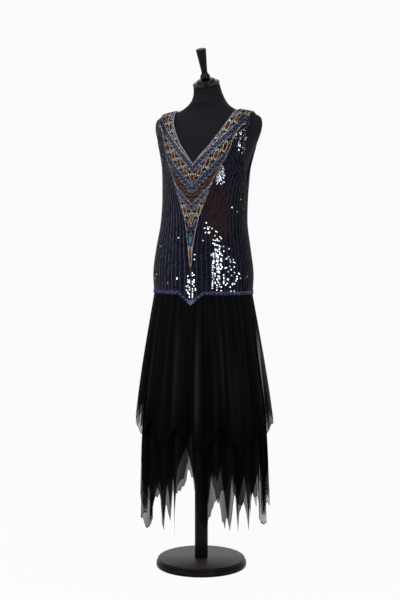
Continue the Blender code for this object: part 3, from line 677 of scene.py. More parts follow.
class DressLook(PropertyGroup):
    """Sizes and colours of the dress that can be changed before it is built."""

    sequin_size: length_value("Sequin", "Width of a sequin", 5.0 * MM)
    sequin_pitch: length_value("Sequin pitch", "Distance between sequins along a row", 3.9 * MM)
    sequin_rows: IntProperty(name="Sequin rows", description="Rows between two bead lines", default=3, min=1)
    bead_lines: IntProperty(name="Bead lines", description="Lines on each half of the bodice", default=34)
    bugle_length: length_value("Long bead", "Length of a bead in the lines", 5.6 * MM)
    bugle_width: length_value("Long bead width", "Thickness of a bead in the lines", 1.9 * MM)
    bead_size: length_value("Round bead", "Width of a round bead of the panel", 2.4 * MM)
    tilt: FloatProperty(
        name="Sequin tilt",
        description="How unevenly the sequins lie",
        default=math.radians(9),
        subtype="ANGLE",
    )
    cover: share_value("Chiffon cover", "Share of the light that one layer of chiffon stops", 0.76)
    side_cover: share_value("Side cover", "Share of the light that it stops at the sides", 0.42)
    sequin_colour: colour_value("Sequins", "the sequins", (0.0020, 0.0023, 0.0055))
    line_colour: colour_value("Bead lines", "the bead lines", (0.044, 0.046, 0.070))
    chiffon_colour: colour_value("Chiffon", "the skirt", (0.0013, 0.0012, 0.0015))
    jersey_colour: colour_value("Jersey", "the dress form", (0.0042, 0.0037, 0.0052))
    lacquer_colour: colour_value("Lacquer", "the cap and stand", (0.0022, 0.0021, 0.0022))


def look():
    return bpy.context.scene.dress_look


def smooth_step(value, start, end):
    share = np.clip((value - start) / (end - start), 0.0, 1.0)
    return share * share * (3.0 - 2.0 * share)


def hump(value, start, full, fading, end):
    """Rises from nought at the start to one at full, stays, and falls back from fading to the end."""
    return smooth_step(value, start, full) * (1 - smooth_step(value, fading, end))


def rounded(wave, power):
    """A sine or cosine raised to a power, with its sign kept."""
    return np.sign(wave) * np.abs(wave) ** power


def unit(vectors):
    """The same vectors, each with a length of one."""
    return vectors / np.linalg.norm(vectors, axis=-1, keepdims=True)


def length_along(points):
    """Length of a line of points from its start to each of them."""
    return np.concatenate([[0.0], np.cumsum(np.linalg.norm(np.diff(points, axis=0), axis=1))])


def column_of(rows, heights, index):
    """One column of a table of rows sorted by their first value, eased between its rows."""
    table = np.array(rows)
    keys = table[:, 0]
    values = table[:, index]
    slopes = np.gradient(values, keys)
    heights = np.clip(heights, keys[0], keys[-1])
    low = np.clip(np.searchsorted(keys, heights, side="right") - 1, 0, len(keys) - 2)
    span = keys[low + 1] - keys[low]
    step = (heights - keys[low]) / span
    start_weight = 2 * step**3 - 3 * step**2 + 1
    start_slope = step**3 - 2 * step**2 + step
    end_slope = step**3 - step**2
    return (
        start_weight * values[low]
        + start_slope * span * slopes[low]
        + (1 - start_weight) * values[low + 1]
        + end_slope * span * slopes[low + 1]
    )


def section_at(rows, heights):
    """Half width, side line, centre front and centre back at these heights."""
    return tuple(column_of(rows, heights, index) for index in (1, 2, 3, 4))


def lifted_height(heights, stand_off):
    """Ease and stand-off at a height of the dress, and the form's height that it covers."""
    growth = column_of(EASE_ROWS, heights, 1) + stand_off
    return growth, heights - growth * smooth_step(heights, ROOF_START, ROOF_END)


def dress_section(heights, stand_off):
    """The form's section grown by the ease and the stand-off, and lifted by as much on the shoulder."""
    growth, lifted = lifted_height(heights, stand_off)
    half_width, side_y, front_y, back_y = section_at(FORM_SECTIONS, lifted)
    return half_width + growth, side_y, front_y - growth, back_y + growth


def section_power(heights, stand_off):
    return column_of(FORM_SECTIONS, lifted_height(heights, stand_off)[1], 5)


def ridge_height(across, stand_off):
    """Height of the shoulder's top line above a point this far across."""
    heights = np.linspace(RIDGE_LOW, RIDGE_HIGH, 400)
    half_width = dress_section(heights, stand_off)[0]
    return np.interp(-across, -half_width, heights)


def surface_y(across, heights, facing, stand_off):
    """Y of the dress surface; facing is -1 for the front and 1 for the back."""
    half_width, side_y, front_y, back_y = dress_section(heights, stand_off)
    depth = np.where(facing < 0, side_y - front_y, back_y - side_y)
    power = section_power(heights, stand_off)
    share = np.clip(np.abs(across) / half_width, 0.0, 1.0)
    return side_y + facing * depth * (1.0 - share**power) ** (1.0 / power)


def seam_height(across, facing):
    """The dropped waist's seam, which dips to a point at the centre front."""
    dip = np.clip(1.0 - np.abs(across) / SEAM_DIP_HALF_WIDTH, 0.0, 1.0)
    return SEAM_HEIGHT - SEAM_DIP * dip * (facing < 0)


def turned_angle(turn):
    """Angle about the body, from the centre front round by +X, of a share of a full turn."""
    warp = sum(size * np.sin(2 * math.pi * count * turn) for count, size in FOLD_WARP)
    return 2 * math.pi * (turn + warp)


def warped_steps(steps):
    """Steps from the centre, moved to where the skirt's folds put the same columns."""
    return turned_angle(steps / (4 * QUARTER)) / (math.pi / 2) * QUARTER


def edge_places(rows, shares, facing, stand_off):
    """Across and height at shares of an edge's length, in steps that shorten towards the shoulder."""
    table = np.array(rows)
    keys = np.linspace(0.0, 1.0, len(rows))
    fine = np.sin(np.linspace(0.0, math.pi / 2, 800))
    across = np.interp(fine, keys, table[:, 0])
    heights = np.interp(fine, keys, table[:, 1])
    points = np.stack([across, surface_y(across, heights, facing, stand_off), heights], axis=1)
    length = length_along(points)
    wanted = length[-1] * (1.0 - (1.0 - shares) ** EDGE_BIAS)
    return np.interp(wanted, length, across), np.interp(wanted, length, heights)


def section_angle(across, heights, stand_off):
    """Angle whose point on the superellipse section lies this far across."""
    half_width = dress_section(heights, stand_off)[0]
    power = section_power(heights, stand_off)
    share = np.clip(np.abs(across) / half_width, 0.0, 1.0)
    return np.arcsin(share ** (power / 2.0))


def edge_tops(steps, facing, stand_off):
    """Across and height of the bodice's top edge at these steps, and the tables of both edges."""
    strap_across = np.array([STRAP_INNER, STRAP_OUTER])
    strap_heights = ridge_height(strap_across, stand_off)
    neck_rows = V_NECK_ROWS if facing < 0 else BACK_NECK_ROWS
    neck_rows = neck_rows + [(STRAP_INNER, strap_heights[0])]
    armpit = dress_section(np.array([ARMPIT_HEIGHT]), stand_off)[0][0]
    arm_rows = [(armpit, ARMPIT_HEIGHT)] + ARMHOLE_ROWS + [(STRAP_OUTER, strap_heights[1])]
    neck = edge_places(neck_rows, np.clip(steps / STRAP_INNER_STEP, 0, 1), facing, stand_off)
    span = QUARTER - STRAP_OUTER_STEP
    arm = edge_places(arm_rows, np.clip((QUARTER - steps) / span, 0, 1), facing, stand_off)
    share = np.clip((steps - STRAP_INNER_STEP) / (STRAP_OUTER_STEP - STRAP_INNER_STEP), 0, 1)
    strap = STRAP_INNER + (STRAP_OUTER - STRAP_INNER) * share
    on_neck = steps < STRAP_INNER_STEP
    on_arm = steps > STRAP_OUTER_STEP
    across = np.where(on_neck, neck[0], np.where(on_arm, arm[0], strap))
    heights = np.where(on_neck, neck[1], np.where(on_arm, arm[1], ridge_height(strap, stand_off)))
    return across, heights, np.array(neck_rows), np.array(arm_rows)


def column_angles(steps, heights, facing, stand_off):
    """Section angle of each column at its heights, shared evenly between neckline and armhole."""
    places = np.linspace(0.0, QUARTER, 97)
    _, tops, neck, arm = edge_tops(places, facing, stand_off)
    inner = section_angle(np.interp(heights, neck[:, 1], neck[:, 0]), heights, stand_off)
    outer = section_angle(np.interp(heights, arm[:, 1], arm[:, 0]), heights, stand_off)
    outer = np.where((heights >= arm[-1, 1]) | (heights <= arm[0, 1]), math.pi / 2, outer)
    warped = warped_steps(places)
    on_neck = places <= STRAP_INNER_STEP
    inner_step = np.interp(heights, tops[on_neck], warped[on_neck])
    outer_step = np.interp(heights, tops[~on_neck][::-1], warped[~on_neck][::-1])
    width = np.maximum(outer_step - inner_step, 1e-9)
    share = np.clip((warped_steps(steps)[None, :] - inner_step) / width, 0.0, 1.0)
    return inner + (outer - inner) * share


class Cloth:
    """A grid of points on the cloth, with its normals, tangents and lengths along its columns."""

    def __init__(self, points, facing):
        self.points = points
        self.rows, self.columns = points.shape[:2]
        up = np.gradient(points, axis=0)
        across = np.gradient(points, axis=1)
        out = np.cross(across, up)
        out /= np.maximum(np.linalg.norm(out, axis=2, keepdims=True), 1e-12)
        hint = np.zeros_like(out)
        hint[..., 1] = facing
        if np.sum(out * hint) < 0:
            out = -out
        self.out = out
        self.up = up
        steps = np.linalg.norm(np.diff(points, axis=0), axis=2)
        self.length = np.sum(steps, axis=0)

    def blend(self, grid, row, column):
        """Bilinear value of a grid at fractional rows and columns."""
        row = np.clip(row, 0, self.rows - 1.001)
        column = np.clip(column, 0, self.columns - 1.001)
        i = row.astype(int)
        j = column.astype(int)
        a = (row - i)[..., None]
        b = (column - j)[..., None]
        low = grid[i, j] * (1 - b) + grid[i, j + 1] * b
        high = grid[i + 1, j] * (1 - b) + grid[i + 1, j + 1] * b
        return low * (1 - a) + high * a

    def place(self, row, column):
        """Points and frames there; a frame's rows are across, up and out, all unit vectors."""
        point = self.blend(self.points, row, column)
        out = unit(self.blend(self.out, row, column))
        up = self.blend(self.up, row, column)
        up -= out * np.sum(up * out, axis=-1, keepdims=True)
        up /= np.maximum(np.linalg.norm(up, axis=-1, keepdims=True), 1e-12)
        return point, np.stack([np.cross(up, out), up, out], axis=-2)

    def row_below_top(self, distance, column):
        """Fractional row that lies this far below the top edge, measured along the column."""
        length = np.interp(column, np.arange(self.columns), self.length)
        return (self.rows - 1) * (1.0 - distance / length)


def bodice_cloth(facing, rows, columns):
    """The bodice's outer surface: superellipse sections x = w sin(a)^(2/p), y = s + d cos(a)^(2/p),
    in columns from the waist's seam to the neckline, shoulder or armhole."""
    steps = np.linspace(-QUARTER, QUARTER, columns)
    stand_off = BODICE_WALL
    across_top, high, _, _ = edge_tops(np.abs(steps), facing, stand_off)
    hip = np.full((1, columns), SEAM_HEIGHT)
    hip_angle = column_angles(np.abs(steps), hip, facing, stand_off)[0]
    hip_across = np.sin(hip_angle) ** (2.0 / ROUNDNESS) * dress_section(hip[0], stand_off)[0]
    low = seam_height(hip_across, facing)
    heights = low + (high - low) * np.sin(np.linspace(0.0, math.pi / 2, 400))[:, None]
    angles = column_angles(np.abs(steps), heights, facing, stand_off)
    half_width, side_y, front_y, back_y = dress_section(heights, stand_off)
    power = section_power(heights, stand_off)
    depth = side_y - front_y if facing < 0 else back_y - side_y
    across = half_width * np.sin(angles) ** (2.0 / power)
    y = side_y + facing * depth * np.maximum(np.cos(angles), 0.0) ** (2.0 / power)
    across[-1] = across_top
    y[-1] = surface_y(across[-1], heights[-1], facing, stand_off)
    half_gap = SEAM_GAP / 2
    y = np.minimum(y, side_y - half_gap) if facing < 0 else np.maximum(y, side_y + half_gap)
    fine = np.stack([np.sign(steps)[None, :] * across, y, heights], axis=2)
    length = np.concatenate(
        [np.zeros((1, columns)), np.cumsum(np.linalg.norm(np.diff(fine, axis=0), axis=2), axis=0)]
    )
    levels = np.linspace(0.0, 1.0, rows)
    even = [
        [np.interp(levels * length[-1, j], length[:, j], fine[:, j, axis]) for j in range(columns)]
        for axis in range(3)
    ]
    return Cloth(np.moveaxis(np.array(even), (0, 1, 2), (2, 1, 0)), facing)


def panel_lengths(cloth):
    """How far the beaded panel reaches below the top edge in each column, nought beside it."""
    steps = np.abs(np.linspace(-QUARTER, QUARTER, cloth.columns))
    heights = cloth.points[:, :, 2]
    half_width = column_of(PANEL_OUTER_ROWS, heights, 1)
    inside = (np.abs(cloth.points[:, :, 0]) <= half_width) & (heights >= PANEL_OUTER_ROWS[0][0])
    inside |= heights >= PANEL_STRAP_HEIGHT
    inside &= steps[None, :] <= STRAP_OUTER_STEP
    lowest = np.argmax(inside, axis=0) / (cloth.rows - 1)
    return np.where(inside.any(axis=0), cloth.length * (1.0 - lowest), 0.0)


def grid_faces(rows, columns, start=0, closed=False):
    """Quads of a grid of points numbered row by row."""
    last = columns if closed else columns - 1
    i, j = np.meshgrid(np.arange(rows - 1), np.arange(last), indexing="ij")
    after = (j + 1) % columns
    corners = [i * columns + j, i * columns + after, (i + 1) * columns + after, (i + 1) * columns + j]
    return np.stack(corners, axis=-1).reshape(-1, 4) + start


def wall_arrays(outer, inner):
    """Points and quads of a closed wall between two grids, with a rim on each of its four sides."""
    rows, columns = outer.shape[:2]
    count = rows * columns
    points = np.concatenate([outer.reshape(-1, 3), inner.reshape(-1, 3)])
    index = np.arange(count).reshape(rows, columns)
    rim = np.concatenate([index[0], index[1:, -1], index[-1, -2::-1], index[-2:0:-1, 0]])
    after = np.roll(rim, -1)
    sides = np.stack([after, rim, rim + count, after + count], axis=1)
    faces = [grid_faces(rows, columns), grid_faces(rows, columns, count)[:, ::-1], sides]
    return points, np.concatenate(faces)


def link_thing(name, data):
    thing = bpy.data.objects.new(name, data)
    bpy.context.scene.collection.objects.link(thing)
    return thing


def add_piece(name, points, faces, material, nodes=(), tints=None, smooth=True):
    """A mesh object of the dress on the root body, in the row frame."""
    data = bpy.data.meshes.new(name)
    data.from_pydata(points.astype(np.float32), [], faces.astype(np.int32))
    data.polygons.foreach_set("use_smooth", np.full(len(faces), smooth))
    if tints is not None:
        layer = data.attributes.new("tint", "FLOAT_COLOR", "POINT")
        layer.data.foreach_set("color", tints.astype(np.float32).ravel())
    data.materials.append(material)
    data.update()
    thing = link_thing(name, data)
    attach(thing, "root")
    if nodes:
        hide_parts(*nodes)
    return thing


def scatter(template, places, frames, sizes):
    """Copies of a template on each place; sizes are each copy's width, height and depth."""
    points, faces = template
    moved = np.einsum("pk,nkj->npj", points, frames * sizes[:, :, None]) + places[:, None]
    shifted = faces[None] + (np.arange(len(places)) * len(points))[:, None, None]
    return moved.reshape(-1, 3), shifted.reshape(-1, faces.shape[1])


def add_beads(name, template, places, frames, sizes, colours, material, nodes=(), smooth=True):
    """One piece of all the copies of a template, each in its own colour."""
    points, faces = scatter(template, places, frames, sizes)
    tints = np.concatenate([colours, np.ones((len(colours), 1))], axis=1)
    tints = np.repeat(tints, len(template[0]), axis=0)
    return add_piece(name, points, faces, material, nodes, tints, smooth)


def turned_frames(frames, about, angles):
    """Frames turned about one of their own axes."""
    first, second = (about + 1) % 3, (about + 2) % 3
    cos, sin = np.cos(angles)[:, None], np.sin(angles)[:, None]
    turned = frames.copy()
    turned[:, first] = cos * frames[:, first] + sin * frames[:, second]
    turned[:, second] = cos * frames[:, second] - sin * frames[:, first]
    return turned


def hexagon_rim():
    """Six points round a circle one unit wide."""
    turns = np.arange(6) * math.pi / 3
    return np.stack([np.cos(turns) / 2, np.sin(turns) / 2, np.zeros(6)], axis=1)


def sequin_template():
    """A shallow cup: a hexagon one unit wide with its centre sunk."""
    faces = [(6, k, (k + 1) % 6) for k in range(6)]
    return np.concatenate([hexagon_rim(), [(0.0, 0.0, -0.09)]]), np.array(faces)


def turned_template(profile, sides):
    """A solid of revolution about its up axis; the profile's rows are radius and height."""
    turns = np.arange(sides) * 2 * math.pi / sides
    round_y = np.stack([np.cos(turns), np.zeros(sides), -np.sin(turns)], axis=1)
    rings = [radius * round_y + np.array([0.0, height, 0.0]) for radius, height in profile]
    ends = [(0.0, profile[0][1], 0.0), (0.0, profile[-1][1], 0.0)]
    points = np.concatenate(rings + [np.array(ends)])
    quads = grid_faces(len(profile), sides, 0, True)
    side = np.arange(sides)
    after = (side + 1) % sides
    last = (len(profile) - 1) * sides
    bottom = np.stack([np.full(sides, len(points) - 2), after, side], axis=1)
    top = np.stack([np.full(sides, len(points) - 1), last + side, last + after], axis=1)
    return points, np.concatenate([quads[:, :3], quads[:, (0, 2, 3)], bottom, top])


def ball_template():
    """A round bead one unit wide."""
    rows = [(0.5 * math.cos(a), 0.5 * math.sin(a)) for a in (-0.9, 0.0, 0.9)]
    return turned_template(rows, 5)


def small_bead_template():
    """A small bead one unit wide: a six-sided rim with a peak on each side."""
    faces = [(7, k, (k + 1) % 6) for k in range(6)] + [(6, (k + 1) % 6, k) for k in range(6)]
    return np.concatenate([hexagon_rim(), [(0.0, 0.0, -0.42), (0.0, 0.0, 0.42)]]), np.array(faces)


def bugle_template():
    """A long bead one unit wide and one unit long."""
    return turned_template([(0.47, -0.48), (0.47, 0.48)], 5)


def stone_template():
    """A domed almond one unit wide and one unit long: x = 0.5 sin(t)|sin(t)|^0.4, y = 0.5 cos(t),
    drawn in over the dome as cos(b), with out = sin(b)."""
    turns = np.arange(20) * math.pi / 10
    outline = np.stack([0.5 * np.sin(turns) * np.abs(np.sin(turns)) ** 0.4, 0.5 * np.cos(turns)], axis=1)
    rises = np.array([-0.25, 0.0, 0.35, 0.75, 1.15])
    rings = [np.concatenate([outline * math.cos(b), np.full((20, 1), math.sin(b))], axis=1) for b in rises]
    points = np.concatenate(rings + [np.array([(0.0, 0.0, 1.0)])])
    quads = grid_faces(len(rises), 20, 0, True)[:, ::-1]
    side = np.arange(20)
    last = (len(rises) - 1) * 20
    top = np.stack([last + (side + 1) % 20, last + side, np.full(20, len(points) - 1)], axis=1)
    return points, np.concatenate([quads[:, :3], quads[:, (0, 2, 3)], top])


def new_material(name, colour, roughness, sockets, grain=None):
    """A Principled material; sockets holds its further values, and grain the scale, strength, height
    and detail of a fine relief in the object's own coordinates."""
    material = bpy.data.materials.new(name)
    material.use_nodes = True
    nodes = material.node_tree.nodes
    shader = nodes["Principled BSDF"]
    values = {"Base Color": (*colour, 1.0), "Roughness": roughness, **sockets}
    for socket, value in values.items():
        shader.inputs[socket].default_value = value
    if grain:
        place = nodes.new("ShaderNodeTexCoord")
        noise = nodes.new("ShaderNodeTexNoise")
        bump = nodes.new("ShaderNodeBump")
        noise.inputs["Scale"].default_value = grain[0]
        bump.inputs["Strength"].default_value = grain[1]
        bump.inputs["Distance"].default_value = grain[2]
        noise.inputs["Detail"].default_value = grain[3]
        links = material.node_tree.links
        links.new(place.outputs["Object"], noise.inputs["Vector"])
        links.new(noise.outputs["Fac"], bump.inputs["Height"])
        links.new(bump.outputs["Normal"], shader.inputs["Normal"])
    return material


def link_tint(material, sheer):
    """Colours the material by each point's own tint; where it is sheer, the alpha is its cover."""
    tint = material.node_tree.nodes.new("ShaderNodeAttribute")
    tint.attribute_name = "tint"
    shader = material.node_tree.nodes["Principled BSDF"]
    material.node_tree.links.new(tint.outputs["Color"], shader.inputs["Base Color"])
    if sheer:
        material.node_tree.links.new(tint.outputs["Alpha"], shader.inputs["Alpha"])
    return material


def lacquer_material(name, roughness, gloss, colour=None):
    """Black paint with faint unevenness; gloss is the strength of its reflections."""
    sockets = {"Specular IOR Level": gloss, "Coat Weight": gloss * 0.5, "Coat Roughness": roughness * 0.6}
    return new_material(name, colour or look().lacquer_colour, roughness, sockets, (40.0, 0.05, 0.0006, 2.0))


def jersey_material():
    """Matte black knit with a soft grey sheen."""
    sockets = {
        "Specular IOR Level": 0.08,
        "Sheen Weight": 0.08,
        "Sheen Roughness": 0.35,
        "Sheen Tint": (0.55, 0.50, 0.62, 1.0),
    }
    grain = (900.0, 0.25, 0.0004, 3.0)
    return new_material("form_jersey_cloth", look().jersey_colour, 0.85, sockets, grain)


def ground_material(name, colour):
    """Dark closely woven cloth under the beads."""
    return new_material(name, colour, 0.8, {"Specular IOR Level": 0.15}, (1200.0, 0.3, 0.0003, 2.0))


def tinted_material(name, roughness, metallic, coat, gloss):
    """Glass or foil whose colour is each bead's own."""
    sockets = {
        "Metallic": metallic,
        "Specular IOR Level": gloss,
        "Coat Weight": coat,
        "Coat Roughness": 0.08,
    }
    return link_tint(new_material(name, (0.02, 0.02, 0.03), roughness, sockets), False)


def chiffon_material():
    """Sheer cloth: the tint's alpha is the share of light that the cloth stops at each point."""
    sockets = {"Specular IOR Level": 0.03}
    grain = (700.0, 0.15, 0.0003, 2.0)
    cloth = new_material("skirt_chiffon_sheer", look().chiffon_colour, 0.8, sockets, grain)
    return link_tint(cloth, True)


def rounded_profile(rows, radius, steps=4):
    """A profile whose corners are replaced by short curves (1-t)^2 a + 2t(1-t) b + t^2 c."""
    corners = np.array(rows, dtype=float)
    points = [corners[0]]
    for before, corner, after in zip(corners, corners[1:], corners[2:]):
        back, ahead = before - corner, after - corner
        cut = min(radius, np.linalg.norm(back) / 2, np.linalg.norm(ahead) / 2)
        start = corner + back / np.linalg.norm(back) * cut
        end = corner + ahead / np.linalg.norm(ahead) * cut
        for t in np.linspace(0.0, 1.0, steps):
            points.append((1 - t) ** 2 * start + 2 * t * (1 - t) * corner + t**2 * end)
    points.append(corners[-1])
    return np.array(points)


def smooth_profile(rows, count):
    """A profile eased through its rows."""
    keyed = [(k, *row) for k, row in enumerate(rows)]
    places = np.linspace(0, len(rows) - 1, count)
    return np.stack([column_of(keyed, places, 1), column_of(keyed, places, 2)], axis=1)


def lathe_arrays(profile, sides):
    """Points and quads of a turned solid: (r sin t, -r cos t, h), with its ends drawn in to the axis."""
    closed = np.concatenate([[(END_RADIUS, profile[0][1])], profile, [(END_RADIUS, profile[-1][1])]])
    turns = np.arange(sides) * 2 * math.pi / sides
    radius, height = closed[:, :1], closed[:, 1:]
    x, y = radius * np.sin(turns), -radius * np.cos(turns)
    points = np.stack([x, y, np.broadcast_to(height, x.shape)], axis=2).reshape(-1, 3)
    return points, grid_faces(len(closed), sides, 0, True)


def leaning(points, pivot, angle):
    """Points about the origin, leant forward by the angle and set on the pivot."""
    cos, sin = math.cos(angle), math.sin(angle)
    y = cos * points[:, 1] - sin * points[:, 2]
    z = sin * points[:, 1] + cos * points[:, 2]
    return np.stack([points[:, 0], y, z], axis=1) + np.array(pivot)


class DRESS_OT_stand(Operator):
    """Round stepped base and the pole that rises from it"""

    bl_idname = "dress.stand"
    bl_label = "Stand"

    def execute(self, context):
        paint = lacquer_material("stand_black_paint", roughness=0.28, gloss=0.05)
        satin = lacquer_material("base_satin_paint", roughness=0.42, gloss=0.15, colour=SATIN_COLOUR)
        points, faces = lathe_arrays(rounded_profile(BASE_PROFILE, BASE_ROUNDING), BASE_SIDES)
        base = add_piece("stand_base_turned", points, faces, paint, ["stand_base"])
        base.data.materials.append(satin)
        centres = points[faces][:, :, 2].mean(axis=1)
        on_top = centres > BASE_PROFILE[-1][1] - BASE_TOP_DEPTH
        base.data.polygons.foreach_set("material_index", on_top.astype(np.int32))
        foot = BASE_PROFILE[-1][1] + SEAM_GAP
        top = FORM_SECTIONS[0][0] - SEAM_GAP
        middle = foot + POLE_MIDDLE
        profile = [(POLE_RADIUS - POLE_BEVEL, foot)]
        profile += [(POLE_RADIUS, height) for height in (foot + POLE_BEVEL, middle, top)]
        points, faces = lathe_arrays(rounded_profile(profile, POLE_ROUNDING), POLE_SIDES)
        add_piece("stand_pole_turned", points, faces, paint, ["stand_pole"])
        return {"FINISHED"}


class DRESS_OT_form(Operator):
    """Jersey-covered form, its neck cap and its finial"""

    bl_idname = "dress.form"
    bl_label = "Form"

    def execute(self, context):
        rows = FORM_SECTIONS + NECK_SECTIONS
        low, foot_top, top = FORM_SECTIONS[0][0], FORM_SECTIONS[2][0], NECK_SECTIONS[-1][0]
        foot = np.linspace(low, foot_top, FORM_FOOT_STEPS)[:-1]
        heights = np.concatenate([foot, np.linspace(foot_top, top, FORM_STEPS)])
        columns = [column_of(rows, heights, index)[:, None] for index in range(1, 7)]
        half_width, side_y, front_y, back_y, power, tilt = columns
        turns = (np.arange(FORM_SIDES) * 2 * math.pi / FORM_SIDES)[None, :]
        sine, cosine = np.sin(turns), np.cos(turns)
        depth = np.where(cosine > 0, side_y - front_y, back_y - side_y)
        x = half_width * rounded(sine, 2.0 / power)
        y = -depth * rounded(cosine, 2.0 / power)
        lean = np.radians(tilt)
        grid = np.stack([x, side_y + np.cos(lean) * y, heights[:, None] + np.sin(lean) * y], axis=2)
        caps = []
        for ring in (grid[:1], grid[-1:]):
            centre = ring.mean(axis=1, keepdims=True)
            caps.append(centre + (ring - centre) * END_SHARE)
        grid = np.concatenate([caps[0], grid, caps[1]])
        faces = grid_faces(len(grid), FORM_SIDES, 0, True)
        jersey = jersey_material()
        add_piece("form_torso_jersey", grid.reshape(-1, 3), faces, jersey, ["form_torso"])
        gloss = lacquer_material("cap_black_lacquer", roughness=0.10, gloss=0.08)
        height, _, centre_y = NECK_SECTIONS[-1][:3]
        axis = np.array([0.0, -math.sin(NECK_TILT), math.cos(NECK_TILT)])
        seat = np.array([0.0, centre_y, height]) + axis * SEAM_GAP
        points, faces = lathe_arrays(smooth_profile(CAP_PROFILE, CAP_STEPS), CAP_SIDES)
        points = leaning(points, seat, NECK_TILT)
        add_piece("neck_cap_lacquered", points, faces, gloss, ["neck_cap"])
        seat = seat + axis * (CAP_PROFILE[-1][1] + SEAM_GAP)
        points, faces = lathe_arrays(smooth_profile(FINIAL_PROFILE, FINIAL_STEPS), FINIAL_SIDES)
        points = leaning(points, seat, NECK_TILT)
        add_piece("finial_lacquered", points, faces, gloss, ["finial"])
        return {"FINISHED"}


def panel_edge_columns(cloth, reach):
    """For each row of the cloth, how many columns from the middle the beaded panel reaches."""
    middle = (cloth.columns - 1) // 2
    lowest = (cloth.rows - 1) * (1.0 - reach[middle:] / cloth.length[middle:])
    covered = reach[middle:] > 0
    count = np.arange(cloth.columns - middle)
    if not covered.any():
        return np.zeros(cloth.rows)
    reached = np.maximum.accumulate(lowest[covered])
    return np.interp(np.arange(cloth.rows), reached, count[covered], left=0.0)


def runs(cloth, edge, offsets, pitch, stagger):
    """Fractional rows and columns, one pitch apart, along lines that follow the panel's edge at
    these offsets in columns; a line ends where it leaves the cloth."""
    middle = (cloth.columns - 1) / 2
    fine = np.linspace(0.3, cloth.rows - 1.3, 320)
    aside = np.interp(fine, np.arange(cloth.rows), edge)
    found = []
    for number, offset in enumerate(offsets):
        for side in (-1, 1):
            column = middle + side * (aside + offset * (1.0 - LINE_CROWDING * aside / middle))
            inside = np.abs(column - middle) < middle - 0.5
            if inside.sum() < 3:
                continue
            length = length_along(cloth.blend(cloth.points, fine[inside], column[inside]))
            first = pitch * (0.5 + stagger * (number % 2))
            spots = np.arange(first, length[-1] - pitch * 0.4, pitch)
            rows = np.interp(spots, length, fine[inside])
            found.append(np.stack([rows, np.interp(rows, fine, column)], axis=1))
    return np.concatenate(found).T


